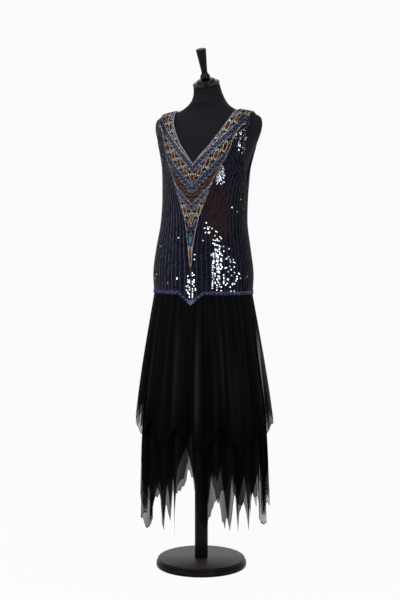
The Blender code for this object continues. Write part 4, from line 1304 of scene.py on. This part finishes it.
class DRESS_OT_bodice(Operator):
    """Front and back of the bodice: dark cloth, overlapping sequins and lines of long beads"""

    bl_idname = "dress.bodice"
    bl_label = "Bodice"

    def execute(self, context):
        sizes = look()
        ground = ground_material("bodice_dark_cloth", (0.004, 0.004, 0.006))
        foil = tinted_material("bodice_sequin_foil", roughness=0.14, metallic=0.96, coat=0.0, gloss=0.2)
        glass = tinted_material("bodice_line_glass", roughness=0.25, metallic=0.30, coat=0.05, gloss=0.15)
        chance = np.random.default_rng(7)
        for side, facing in (("front", -1), ("back", 1)):
            cloth = bodice_cloth(facing, *BODICE_GRID)
            outer = cloth.points[::2, ::2]
            inner = outer - cloth.out[::2, ::2] * BODICE_GROUND
            points, faces = wall_arrays(outer, inner)
            name = f"bodice_{side}"
            sheet = add_piece(f"{name}_cloth", points, faces, ground, [name])
            reach = panel_lengths(cloth) if facing < 0 else np.zeros(cloth.columns)
            edge = panel_edge_columns(cloth, reach)
            beads = [
                self.sequins(cloth, edge, sizes, chance, foil, side),
                self.lines(cloth, edge, sizes, chance, glass, side),
            ]
        return {"FINISHED"}

    def sequins(self, cloth, edge, sizes, chance, foil, side):
        """Sequins like small tilted scales between the bead lines, each with its own slight turn."""
        gap = (cloth.columns - 1) / sizes.bead_lines
        share = (np.arange(sizes.sequin_rows) + 1) / (sizes.sequin_rows + 1)
        offsets = ((np.arange(sizes.bead_lines)[:, None] + share[None, :]) * gap).ravel()
        row, column = runs(cloth, edge, offsets, sizes.sequin_pitch, 0.5)
        places, frames = cloth.place(row, column)
        count = len(places)
        painted_patch_glints = self.painted_patch_glints(places, chance) & (side == "front")
        loose = np.where(painted_patch_glints, FLAT_SHARE, 1.0) * sizes.tilt
        frames = turned_frames(frames, 0, SEQUIN_LEAN + chance.normal(0.0, 1.0, count) * loose)
        frames = turned_frames(frames, 1, chance.normal(0.0, 1.0, count) * loose)
        places = places + frames[:, 2] * SEQUIN_LIFT
        scale = np.full((count, 3), sizes.sequin_size)
        shade = np.array(sizes.sequin_colour) * chance.uniform(*SEQUIN_SHADES, (count, 1))
        brown = brown_share(places, side) * chance.uniform(*BROWN_SHADES, count)
        shade = shade * (1 - SEQUIN_BROWN_LOSS * brown[:, None]) + brown[:, None] * np.array(BROWN_GROUND)
        # Painted sheen: grey added to the sequins' colour towards the left, in place of their reflections
        grey = (1 - smooth_step(places[:, 0], *PAINTED_SHEEN_FADE)) * chance.uniform(0.0, 1.0, count) ** 2
        shade = shade + grey[:, None] * np.array(PAINTED_GREY_SHEEN)
        # Painted glints: these sequins take a pale colour in place of the light they mirror, so they stay
        # pale from every side
        painted_glint_sequins = (chance.uniform(0, 1, count) < STRAY_GLINT_SHARE) | painted_patch_glints
        shade = np.where(painted_glint_sequins[:, None], np.array(PAINTED_GLINT_COLOUR), shade)
        name = f"bodice_{side}_sequins"
        return add_beads(
            name, sequin_template(), places, frames, scale, shade, foil, smooth=False
        )

    def painted_patch_glints(self, places, chance):
        """Which sequins get the painted glint colour: more of them towards the middle of each patch."""
        found = np.zeros(len(places), dtype=bool)
        for across, height, half_width, half_height, share in GLINT_ROWS:
            far = np.hypot((places[:, 0] - across) / half_width, (places[:, 2] - height) / half_height)
            sway = STREAK_SWAY * np.sin(STREAK_SWAY_RATE * places[:, 2])
            streak = 0.5 + 0.5 * np.sin(2 * math.pi * places[:, 0] / STREAK_PITCH + sway)
            likely = share * (1 - smooth_step(far, *GLINT_FADE)) * (STREAK_LEAST + STREAK_MORE * streak)
            found |= chance.uniform(0, 1, len(places)) < likely
        return found

    def lines(self, cloth, edge, sizes, chance, glass, side):
        """Long glass beads laid end to end, duller towards the right."""
        gap = (cloth.columns - 1) / sizes.bead_lines
        offsets = np.arange(sizes.bead_lines) * gap + FIRST_LINE
        row, column = runs(cloth, edge, offsets, sizes.bugle_length * LINE_ROOM, 0.0)
        places, frames = cloth.place(row, column)
        count = len(places)
        places = places + frames[:, 2] * LINE_LIFT
        frames = turned_frames(frames, 2, chance.normal(0.0, LINE_TURN, count))
        scale = np.tile([sizes.bugle_width, sizes.bugle_length, sizes.bugle_width], (count, 1))
        dull = 1.0 - DULL_SHARE * smooth_step(places[:, 0], *DULL_START)
        shade = np.array(sizes.line_colour) * dull[:, None] * chance.uniform(*LINE_SHADES, (count, 1))
        brown = brown_share(places, side)[:, None]
        shade = shade * (1 - LINE_BROWN_LOSS * brown) + brown * np.array(BROWN_GROUND) * LINE_BROWN_SHARE
        name = f"bodice_{side}_bead_lines"
        return add_beads(name, bugle_template(), places, frames, scale, shade, glass)


def brown_share(places, side):
    """How far each place lies inside the browner patch of the front."""
    return hump(places[:, 0], *BROWN_ACROSS) * hump(places[:, 2], *BROWN_HEIGHTS) * (side == "front")


def panel_colours(points, distance):
    """Colour of each bead of the panel from its chevron level and its distance below the neckline."""
    across = np.abs(points[:, 0])
    level = V_NECK_ROWS[0][1] - points[:, 2] + CHEVRON_SLOPE * across
    along = across * math.hypot(1.0, CHEVRON_SLOPE)
    names = np.full(level.shape, "ground", dtype=object)
    for start, end, kind, first, second, third in PANEL_BANDS:
        inside = (level >= start) & (level < end)
        share = (level - start) / (end - start)
        rise = np.abs(share - 0.5) * 2
        if kind == "row":
            pick = np.floor(along / ROW_PERIOD).astype(int) % 3
            choice = np.select([pick == 0, pick == 1], [first, second], third)
        elif kind == "checks":
            near = np.abs((along / CHECK_PERIOD + 0.5) % 1.0 - 0.5) * 2
            spread = near + rise
            net = np.abs(spread - 1.0) < NET_HALF_LINE
            middle = (spread < NET_MIDDLE) | (spread > 2 - NET_MIDDLE)
            choice = np.select([net, middle], [first, third], second)
        else:
            near = np.abs((along / MOTIF_PERIOD + 0.5) % 1.0 - 0.5) * 2
            far = np.hypot(near / OVAL_WIDTH, rise / OVAL_HEIGHT)
            rings = [far < OVAL_CORE, far < OVAL_RING, far < 1.0]
            choice = np.select(rings, [third, second, first], "ground")
            choice = np.where((near > SIDE_SPOT[0]) & (rise < SIDE_SPOT[1]), first, choice)
            choice = np.where((near > CORNER_SPOT[0]) & (rise > CORNER_SPOT[1]), "pale", choice)
        names = np.where(inside, choice, names)
    border = np.where(np.floor(along / BORDER_PERIOD).astype(int) % 2 == 0, "cream", "lilac")
    names = np.where(distance < NECK_BORDER, border, names)
    return np.array([PALETTE[name] for name in names])


class DRESS_OT_panel(Operator):
    """Beaded V panel: dark ground, rows of round beads along the neckline, stones and an outline"""

    bl_idname = "dress.panel"
    bl_label = "Beaded panel"

    def execute(self, context):
        sizes = look()
        cloth = bodice_cloth(-1, *PANEL_GRID)
        reach = panel_lengths(cloth)
        ground = ground_material("panel_dark_cloth", PALETTE["ground"])
        glass = tinted_material("panel_bead_glass", roughness=0.2, metallic=0.30, coat=0.08, gloss=0.12)
        self.backing(cloth, reach, ground)
        distance, column = self.bead_rows(cloth, reach, sizes.bead_size)
        points = cloth.blend(cloth.points, cloth.row_below_top(distance, column), column)
        colours = panel_colours(points, distance)
        self.beads("panel_beads_rows", cloth, distance, column, colours, sizes.bead_size, glass)
        self.outline(cloth, reach, sizes.bead_size, glass)
        self.stones(cloth, glass)
        return {"FINISHED"}

    def backing(self, cloth, reach, ground):
        """The panel's cloth, a thin wall from the top edge down to its outer line in each column."""
        steps = np.linspace(-QUARTER, QUARTER, cloth.columns)
        wanted = np.linspace(-STRAP_OUTER_STEP, STRAP_OUTER_STEP, BACKING_COLUMNS)
        column = np.interp(wanted, steps, np.arange(cloth.columns))
        length = np.maximum(np.interp(column, np.arange(cloth.columns), reach), 2 * MM)
        distance = length[None, :] * np.linspace(1.0, 0.0, BACKING_ROWS)[:, None]
        columns = np.repeat(column[None, :], BACKING_ROWS, axis=0)
        points, frames = cloth.place(cloth.row_below_top(distance, columns), columns)
        out = frames[..., 2, :]
        outer = points + out * (SEAM_GAP + PANEL_BACKING)
        inner = points + out * SEAM_GAP
        points, faces = wall_arrays(outer, inner)
        add_piece("beaded_panel_backing", points, faces, ground, ["beaded_panel"])

    def bead_rows(self, cloth, reach, pitch):
        """Rows of beads, each at one distance below the neckline, spaced evenly from the centre out."""
        middle = (cloth.columns - 1) / 2
        columns = np.arange(middle, cloth.columns - 1, 0.5)
        limit = np.interp(columns, np.arange(cloth.columns), reach)
        found = []
        for distance in np.arange(FIRST_ROW, reach.max(), pitch * ROW_SLOPE_SHARE):
            inside = limit > distance + pitch * 0.6
            # A row that misses the middle keeps only its first run of columns
            if not inside[0]:
                inside[:] &= np.cumsum(~inside) == np.argmax(inside)
            if inside.sum() < 2:
                continue
            part = columns[inside]
            level = np.full(len(part), distance)
            length = length_along(cloth.blend(cloth.points, cloth.row_below_top(level, part), part))
            spots = np.arange(0.0, length[-1], pitch)
            right = np.interp(spots, length, part)
            found.append(np.stack([np.full(len(spots), distance), right], axis=1))
            found.append(np.stack([np.full(len(spots), distance), 2 * middle - right], axis=1)[1:])
        return np.concatenate(found).T

    def beads(self, name, cloth, distance, column, colours, size, glass):
        """Small beads of uneven size and shade at these distances below the top and these columns."""
        chance = np.random.default_rng(11)
        places, frames = cloth.place(cloth.row_below_top(distance, column), column)
        places = places + frames[:, 2] * (SEAM_GAP + PANEL_BACKING + size * BEAD_LIFT)
        scale = size * chance.uniform(*BEAD_SIZES, (len(places), 1)) * np.ones((1, 3))
        shade = colours * chance.uniform(*PANEL_SHADES, (len(places), 1))
        add_beads(name, small_bead_template(), places, frames, scale, shade, glass)

    def outline(self, cloth, reach, size, glass):
        """A line of cream beads down the panel's outer edge."""
        steps = np.linspace(-QUARTER, QUARTER, cloth.columns)
        found = []
        for side in (-1, 1):
            inside = np.where((steps * side >= 0) & (np.abs(steps) <= STRAP_OUTER_STEP) & (reach > 0))[0]
            column = inside.astype(float)
            distance = reach[inside] - size * 0.4
            length = length_along(cloth.blend(cloth.points, cloth.row_below_top(distance, column), column))
            spots = np.arange(0.0, length[-1], size)
            found.append(np.stack([np.interp(spots, length, row) for row in (distance, column)], axis=1))
        distance, column = np.concatenate(found).T
        colours = np.tile(PALETTE["cream"], (len(distance), 1))
        self.beads("panel_outline_beads", cloth, distance, column, colours, size, glass)

    def stones(self, cloth, glass):
        """Domed almond stones among the beads, the side ones mirrored."""
        rows = []
        for across, level, width, length, lean, colour in STONES:
            height = V_NECK_ROWS[0][1] - level + CHEVRON_SLOPE * across
            rows.append((across, height, width, length, math.radians(lean), *PALETTE[colour]))
            if across:
                rows.append((-across, height, width, length, -math.radians(lean), *PALETTE[colour]))
        table = np.array(rows)
        seats = []
        for across, height in table[:, :2]:
            far = np.hypot(cloth.points[..., 0] - across, cloth.points[..., 2] - height)
            seats.append(np.unravel_index(np.argmin(far), far.shape))
        row, column = np.array(seats, dtype=float).T
        places, frames = cloth.place(row, column)
        frames = turned_frames(frames, 2, -table[:, 4])
        places = places + frames[:, 2] * (SEAM_GAP + STONE_HEIGHT)
        scale = np.stack([table[:, 2], table[:, 3], np.full(len(table), STONE_HEIGHT)], axis=1)
        shade = table[:, 5:]
        add_beads("panel_stones", stone_template(), places, frames, scale, shade, glass)


class DRESS_OT_piping(Operator):
    """Thin beaded cord along the neckline, in a front and a back length"""

    bl_idname = "dress.piping"
    bl_label = "Neck piping"

    def execute(self, context):
        glass = tinted_material("neck_piping_glass", roughness=0.3, metallic=0.2, coat=0.1, gloss=0.2)
        chance = np.random.default_rng(5)
        for side, facing in (("front", -1), ("back", 1)):
            cloth = bodice_cloth(facing, *PIPING_GRID)
            steps = np.linspace(-QUARTER, QUARTER, cloth.columns)
            inside = np.abs(steps) <= STRAP_INNER_STEP
            out = cloth.out[-1, inside]
            path = cloth.points[-1, inside] - out * BODICE_WALL / 2
            outward = unit(np.cross(out, np.gradient(path, axis=0)))
            outward *= math.copysign(1.0, outward[len(path) // 2, 2])
            path = path + outward * (PIPING_RADIUS + SEAM_GAP * 1.6) + out * PIPING_LIFT
            length = length_along(path)
            spots = np.arange(0.0, length[-1], PIPING_PITCH)
            places = np.stack([np.interp(spots, length, path[:, k]) for k in range(3)], axis=1)
            along = unit(np.gradient(places, axis=0))
            rise = np.stack([np.interp(spots, length, out[:, k]) for k in range(3)], axis=1)
            rise = unit(rise - along * np.sum(rise * along, axis=1, keepdims=True))
            frames = np.stack([np.cross(along, rise), along, rise], axis=1)
            scale = np.full((len(places), 3), 2 * PIPING_RADIUS)
            shade = np.array(PIPING_GREY) * chance.uniform(*PIPING_SHADES, (len(places), 1))
            name = f"neck_piping_{side}"
            beads = ball_template()
            add_beads(f"{name}_beads", beads, places, frames, scale, shade, glass, [name])
        return {"FINISHED"}


def band_surface(turns, rise, facing, wall):
    """Points of the hip band at shares of a turn and heights above the seam."""
    sine = np.sin(turned_angle(turns))
    across_share = rounded(sine, 2.0 / ROUNDNESS)
    width = dress_section(np.array([SEAM_HEIGHT]), BODICE_WALL)[0][0]
    heights = seam_height(width * across_share, facing) + rise
    flare = np.interp(rise, [-BAND_BELOW, 1 * MM, BAND_ABOVE], [BAND_FLARE, 2 * SEAM_GAP, 2 * SEAM_GAP])
    stand_off = BODICE_WALL + flare + wall
    half_width, side_y, _, _ = dress_section(heights, stand_off)
    x = half_width * across_share
    y = surface_y(x, heights, facing, stand_off)
    y = np.minimum(y, side_y - SEAM_GAP) if facing < 0 else np.maximum(y, side_y + SEAM_GAP)
    return np.stack([x, y, heights], axis=-1)


class DRESS_OT_band(Operator):
    """Beaded band over the dropped waist's seam, with pale scallops along its top"""

    bl_idname = "dress.band"
    bl_label = "Hip band"

    def execute(self, context):
        ground = ground_material("hip_band_cloth", (0.006, 0.007, 0.020))
        glass = tinted_material("hip_band_glass", roughness=0.2, metallic=0.3, coat=0.08, gloss=0.15)
        chance = np.random.default_rng(3)
        for side, facing in (("front", -1), ("back", 1)):
            levels = np.linspace(-BAND_BELOW, BAND_ABOVE, 7)
            turns, rise = np.meshgrid(np.linspace(-0.25, 0.25, 241), levels)
            outer = band_surface(turns, rise, facing, BAND_CLOTH_FACE)
            inner = band_surface(turns, rise, facing, BAND_CLOTH_BACK)
            points, faces = wall_arrays(outer, inner)
            add_piece(f"hip_band_{side}_cloth", points, faces, ground, [f"hip_band_{side}"])
            self.beads(side, facing, glass, chance)
        return {"FINISHED"}

    def beads(self, side, facing, glass, chance):
        """Rows of round beads; pale ones make scallops that rise above the band's top."""
        ring = np.linspace(-0.2495, 0.2495, 800)
        length = length_along(band_surface(ring, 0.0, facing, BAND_BEAD_LIFT))
        spots = np.arange(BAND_BEAD_PITCH / 2, length[-1], BAND_BEAD_PITCH)
        rises = np.arange(-BAND_BELOW + BAND_MARGIN, BAND_ABOVE + SCALLOP_RISE, BAND_BEAD_PITCH)
        turns, rise = np.meshgrid(np.interp(spots, length, ring), rises)
        along = np.repeat((spots - length[-1] / 2)[None, :], len(rises), axis=0)
        scallop = np.abs(np.cos(math.pi * along / SCALLOP_PITCH))
        kept = rise < BAND_ABOVE - BAND_MARGIN + SCALLOP_RISE * (scallop - SCALLOP_FOOT)
        turns, rise, scallop = turns[kept], rise[kept], scallop[kept]
        arch = SCALLOP_LOW + SCALLOP_HEIGHT * scallop
        places = band_surface(turns, rise, facing, BAND_BEAD_LIFT)
        ahead = unit(band_surface(turns + 0.0005, rise, facing, BAND_BEAD_LIFT) - places)
        out = unit(np.cross(ahead, np.array([0.0, 0.0, 1.0])) * (1.0 if facing < 0 else -1.0))
        frames = np.stack([ahead, np.cross(out, ahead), out], axis=1)
        at_point = (np.abs(places[:, 0]) < PALE_POINT) & (facing < 0)
        pale = (np.abs(rise - arch) < SCALLOP_HALF_LINE) | at_point
        shade = np.where(pale[:, None], np.array(SCALLOP_PALE), np.array(BAND_NAVY))
        shade = shade * chance.uniform(*BAND_SHADES, (len(places), 1))
        scale = np.full((len(places), 3), BAND_BEAD_SIZE)
        name = f"hip_band_{side}_beads"
        add_beads(name, ball_template(), places, frames, scale, shade, glass)


def hem_heights(turns, rows):
    """Pointed edge through the table's rows: from a tip, height = notch - (notch - tip)(1 - t)^sharpness.
    A piece that ends at the centre front ends on the last row."""
    table = np.array(rows, dtype=float)
    around = turns * 4 * QUARTER
    around = np.where(around < 0, around + 4 * QUARTER, around)
    if turns[-1] == 0:
        around[-1] = 4 * QUARTER
    row = np.clip(np.searchsorted(table[:, 0], around, side="right") - 1, 0, len(table) - 2)
    start, end = table[row], table[row + 1]
    share = (around - start[:, 0]) / (end[:, 0] - start[:, 0])
    falls = start[:, 1] > end[:, 1]
    tip = np.where(falls[:, None], end, start)
    notch = np.where(falls, start[:, 1], end[:, 1])
    near = np.where(falls, share, 1.0 - share)
    return notch - (notch - tip[:, 1]) * near ** tip[:, 2]


def tier_sections(rows, inset):
    """The tier's sections, the last of them at the seam: the bodice's own surface, less the inset."""
    half_width, side_y, front_y, back_y = dress_section(np.array([SEAM_HEIGHT]), BODICE_WALL - inset)
    return rows + [(SEAM_HEIGHT, half_width[0], side_y[0], front_y[0], back_y[0])]


def tier_grid(sections, turns, hem_rows, fold_depth, levels, fray):
    """Sections pushed in and out by the folds: push = depth swell(z) (wave(t) uneven(t)) + creases."""
    angle = turned_angle(turns)
    sine, cosine = np.sin(angle), np.cos(angle)
    cosine = np.where(np.abs(cosine) < 1e-9, 0.0, cosine)
    power = 2.0 / ROUNDNESS
    hip_width = section_at(sections, np.array([SEAM_HEIGHT]))[0][0]
    across_share = rounded(sine, power)
    facing = np.where(cosine > 0, -1, 1)
    top = seam_height(hip_width * across_share, facing) - SEAM_GAP / 2
    hem = hem_heights(turns, hem_rows)
    for count, size, shift in RAGGED_EDGE:
        hem = hem + fray * size * np.sin(2 * math.pi * count * turns + shift)
    heights = hem[None, :] + (top - hem)[None, :] * levels[:, None]
    dip = SEAM_HEIGHT - top - SEAM_GAP / 2
    half_width, side_y, front_y, back_y = section_at(sections, heights + dip[None, :] * levels[:, None])
    depth = np.where(cosine[None, :] > 0, side_y - front_y, back_y - side_y)
    fall = np.clip((SEAM_HEIGHT - heights) / SEAM_HEIGHT, 0.0, 1.0)
    swell = np.clip(fall * FOLD_GROWTH, 0.0, 1.0) ** FOLD_GROWTH_POWER
    wave = np.cos(2 * math.pi * FOLDS * (turns + 0.5 / FOLDS))
    uneven = 1.0
    for count, size, shift in FOLD_UNEVENNESS:
        uneven = uneven + size * np.sin(2 * math.pi * count * turns + shift)
    push = fold_depth * swell * (wave * uneven)[None, :]
    # Painted shade of the folds: ridge makes the cloth's colour paler on their crests and darker in their
    # hollows
    ridge = SHADE_MIDDLE + SHADE_SWING * (wave * uneven)[None, :] * swell
    # Painted gathers: they change only the painted shade, not the cloth's shape
    for count, size, shift in PAINTED_GATHERS:
        gather = size * np.sin(2 * math.pi * count * turns + shift)[None, :]
        ridge = ridge + gather * (GATHER_START - GATHER_LOSS * swell)
    for place, width, size, start, end in CREASE_ROWS:
        near = np.exp(-((((turns - place + 0.5) % 1.0) - 0.5) / width) ** 2)
        low, high = end - CREASE_LOW_FADE[0], end + CREASE_LOW_FADE[1]
        window = hump(heights, low, high, start - CREASE_HIGH_FADE, start)
        push = push + size * near[None, :] * window
        # Painted shade and highlight along each crease
        ridge = ridge + size / CREASE_PAINTED_STEP * near[None, :] * window
    x = (half_width + push) * across_share[None, :]
    y = side_y - (depth + push) * rounded(cosine, power)[None, :]
    return np.stack([x, y, heights], axis=2), np.clip(ridge, 0.0, SHADE_LIMIT)


def open_front(grid, side):
    """Parts the front pieces at the centre front, more and more towards the hem."""
    gap = np.maximum(column_of(SLIT_ROWS, grid[:, :, 2], 1), 0.0) + SEAM_GAP / 2
    near = np.clip(1.0 - np.abs(grid[:, :, 0]) / SLIT_REACH, 0.0, 1.0)
    near = np.where(side * grid[:, :, 0] < 0, 1.0, near)
    grid[:, :, 0] += side * gap * near
    return grid


class DRESS_OT_skirt(Operator):
    """Two tiers of sheer cloth, each in two front pieces and a back, with a pointed hem"""

    bl_idname = "dress.skirt"
    bl_label = "Skirt"

    def execute(self, context):
        chiffon = chiffon_material()
        upper = tier_sections(UPPER_TIER_SECTIONS, 0.0)
        lower = tier_sections(LOWER_TIER_SECTIONS, CHIFFON_WALL + SEAM_GAP)
        self.tier("upper_tier", upper, UPPER_HEM, UPPER_FOLD_DEPTH, self.upper_cover, (0.40, 0.50), chiffon)
        self.tier("lower_tier", lower, LOWER_HEM, LOWER_FOLD_DEPTH, self.lower_cover, (0.38, 0.76), chiffon)
        return {"FINISHED"}

    def upper_cover(self, turns, heights):
        """Share of light stopped: dark all over but for the right side and the left corner."""
        right = hump(turns, *UPPER_SHEER_RIGHT)
        left = hump(turns % 1.0, *UPPER_SHEER_LEFT)
        sheer = right[None, :] * (1 - smooth_step(heights, 0.70, 0.84))
        sheer = sheer + left[None, :] * (1 - smooth_step(heights, 0.52, 0.60))
        return DARK_COVER + (look().side_cover - DARK_COVER) * sheer

    def lower_cover(self, turns, heights):
        """Share of light stopped: dark above the dark edge, sheer under it and sheerest at the sides,
        with a darker line between."""
        line = hem_heights(turns, DARK_EDGE)[None, :] + DARK_EDGE_RAISE
        above = smooth_step(heights, line - 2 * MM, line + 3 * MM)
        rim = np.exp(-(((heights - line) / DARK_LINE_WIDTH) ** 2))
        sides = hump(turns, *LOWER_SHEER_RIGHT) + hump(turns % 1.0, *LOWER_SHEER_LEFT)
        thin = look().cover + (look().side_cover - look().cover) * sides[None, :]
        return np.maximum(thin + (DARK_COVER - thin) * above, rim * DARK_LINE_COVER)

    def tier(self, name, sections, hem_rows, fold_depth, cover_at, flat, chiffon):
        """The tier's three pieces, each point with its colour, which carries the folds' painted shade, and
        its cover.
        """
        base = np.array(look().chiffon_colour)
        for piece, first, last, side, columns in TIER_PIECES:
            turns = np.linspace(first, last, columns)
            grid, ridge = tier_grid(sections, turns, hem_rows, fold_depth, TIER_LEVELS, FRAY[name])
            if side:
                grid = open_front(grid, side)
            steep = np.abs(np.gradient(np.linalg.norm(grid[:, :, :2], axis=2), axis=1))
            spacing = np.linalg.norm(np.gradient(grid[:, :, :2], axis=1), axis=2)
            steep = np.clip(steep / np.maximum(spacing, 1e-6), 0.0, 1.0)
            alpha = cover_at(turns, grid[:, :, 2])
            alpha = alpha + (1 - alpha) * STEEP_COVER * steep
            # Painted shade: more cover in the hollows between folds darkens them
            alpha = alpha + (1 - alpha) * PAINTED_HOLLOW_SHADE * np.clip(HOLLOW_START - ridge, 0.0, 1.0)
            alpha[:2] = np.maximum(alpha[:2], HEM_COVER)
            above = LOWER_TIER_RIDGE
            if name == "upper_tier":
                above = smooth_step(grid[:, :, 2] - grid[:1, :, 2], 0.0, RIDGE_FADE)
            # Painted shade and highlight: the cloth is darker in hollows and paler on fold ridges
            colour = base * (HOLLOW_SHADE + RIDGE_SHADE * ridge**RIDGE_POWER * above)[..., None]
            tints = np.concatenate([colour, np.clip(alpha, 0.0, 1.0)[..., None]], axis=2).reshape(-1, 4)
            faces = grid_faces(len(TIER_LEVELS), columns)
            node = f"{name}_{piece}"
            points = grid.reshape(-1, 3)
            thing = add_piece(f"{node}_chiffon", points, faces, chiffon, [node], tints)


class DRESS_OT_stage(Operator):
    """Pale floor, soft studio lights and the camera at the photograph's angle"""

    bl_idname = "dress.stage"
    bl_label = "Studio"

    def execute(self, context):
        self.floor()
        self.lights()
        self.camera()
        return {"FINISHED"}

    def floor(self):
        """A wide round floor that fades into the pale surroundings."""
        turns = np.arange(64) * 2 * math.pi / 64
        points = FLOOR_RADIUS * np.stack([np.sin(turns), np.cos(turns), np.zeros(64)], axis=1)
        data = bpy.data.meshes.new("studio_floor")
        data.from_pydata(points, [], [tuple(range(63, -1, -1))])
        sockets = {
            "Specular IOR Level": 0.0,
            "Emission Color": (1.0, 1.0, 1.0, 1.0),
            "Emission Strength": FLOOR_GLOW,
        }
        data.materials.append(new_material("studio_white", (0.03, 0.03, 0.03), 0.9, sockets))
        link_thing("studio_floor", data)

    def lights(self):
        world = bpy.data.worlds.new("studio_world")
        bpy.context.scene.world = world
        world.use_nodes = True
        background = world.node_tree.nodes["Background"]
        background.inputs["Color"].default_value = (1.0, 1.0, 1.0, 1.0)
        background.inputs["Strength"].default_value = WORLD_STRENGTH
        for name, azimuth, height, reach, width, tall, power in LIGHTS:
            data = bpy.data.lights.new(name, "AREA")
            data.shape = "RECTANGLE"
            data.size = width
            data.size_y = tall
            data.energy = power
            thing = link_thing(name, data)
            turn = math.radians(azimuth)
            thing.location = (reach * math.sin(turn), -reach * math.cos(turn), height)
            lean = math.atan2(height - 1.0, reach)
            thing.rotation_euler = (math.pi / 2 - lean, 0.0, turn)

    def camera(self):
        data = bpy.data.cameras.new("photo_camera")
        data.lens = CAMERA_LENS
        data.sensor_width = 36.0
        data.sensor_fit = "AUTO"
        thing = link_thing("photo_camera", data)
        turn = math.radians(CAMERA_AZIMUTH)
        x = CAMERA_DISTANCE * math.sin(turn) - CAMERA_ASIDE * math.cos(turn)
        y = -CAMERA_DISTANCE * math.cos(turn) - CAMERA_ASIDE * math.sin(turn)
        thing.location = (x, y, CAMERA_HEIGHT)
        thing.rotation_euler = (math.radians(90 - CAMERA_PITCH), 0.0, turn)
        bpy.context.scene.camera = thing
        bpy.context.scene.view_settings.view_transform = "Standard"


class DRESS_PT_panel(Panel):
    """Sizes, colours and buttons in the sidebar"""

    bl_idname = "DRESS_PT_panel"
    bl_label = "Dress"
    bl_space_type = "VIEW_3D"
    bl_region_type = "UI"
    bl_category = "Dress"

    def draw(self, context):
        for name in DressLook.__annotations__:
            self.layout.prop(context.scene.dress_look, name)
        for operator in OPERATORS:
            self.layout.operator(operator.bl_idname)


OPERATORS = (
    DRESS_OT_stand,
    DRESS_OT_form,
    DRESS_OT_bodice,
    DRESS_OT_panel,
    DRESS_OT_piping,
    DRESS_OT_band,
    DRESS_OT_skirt,
    DRESS_OT_stage,
)
CLASSES = (DressLook, *OPERATORS, DRESS_PT_panel)


def register():
    for one in CLASSES:
        bpy.utils.register_class(one)
    bpy.types.Scene.dress_look = PointerProperty(type=DressLook)


def unregister():
    del bpy.types.Scene.dress_look
    for one in reversed(CLASSES):
        bpy.utils.unregister_class(one)


def main():
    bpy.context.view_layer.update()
    register()
    bpy.ops.dress.stand()
    bpy.ops.dress.form()
    bpy.ops.dress.bodice()
    bpy.ops.dress.panel()
    bpy.ops.dress.piping()
    bpy.ops.dress.band()
    bpy.ops.dress.skirt()
    bpy.ops.dress.stage()


if __name__ == "__main__":
    main()
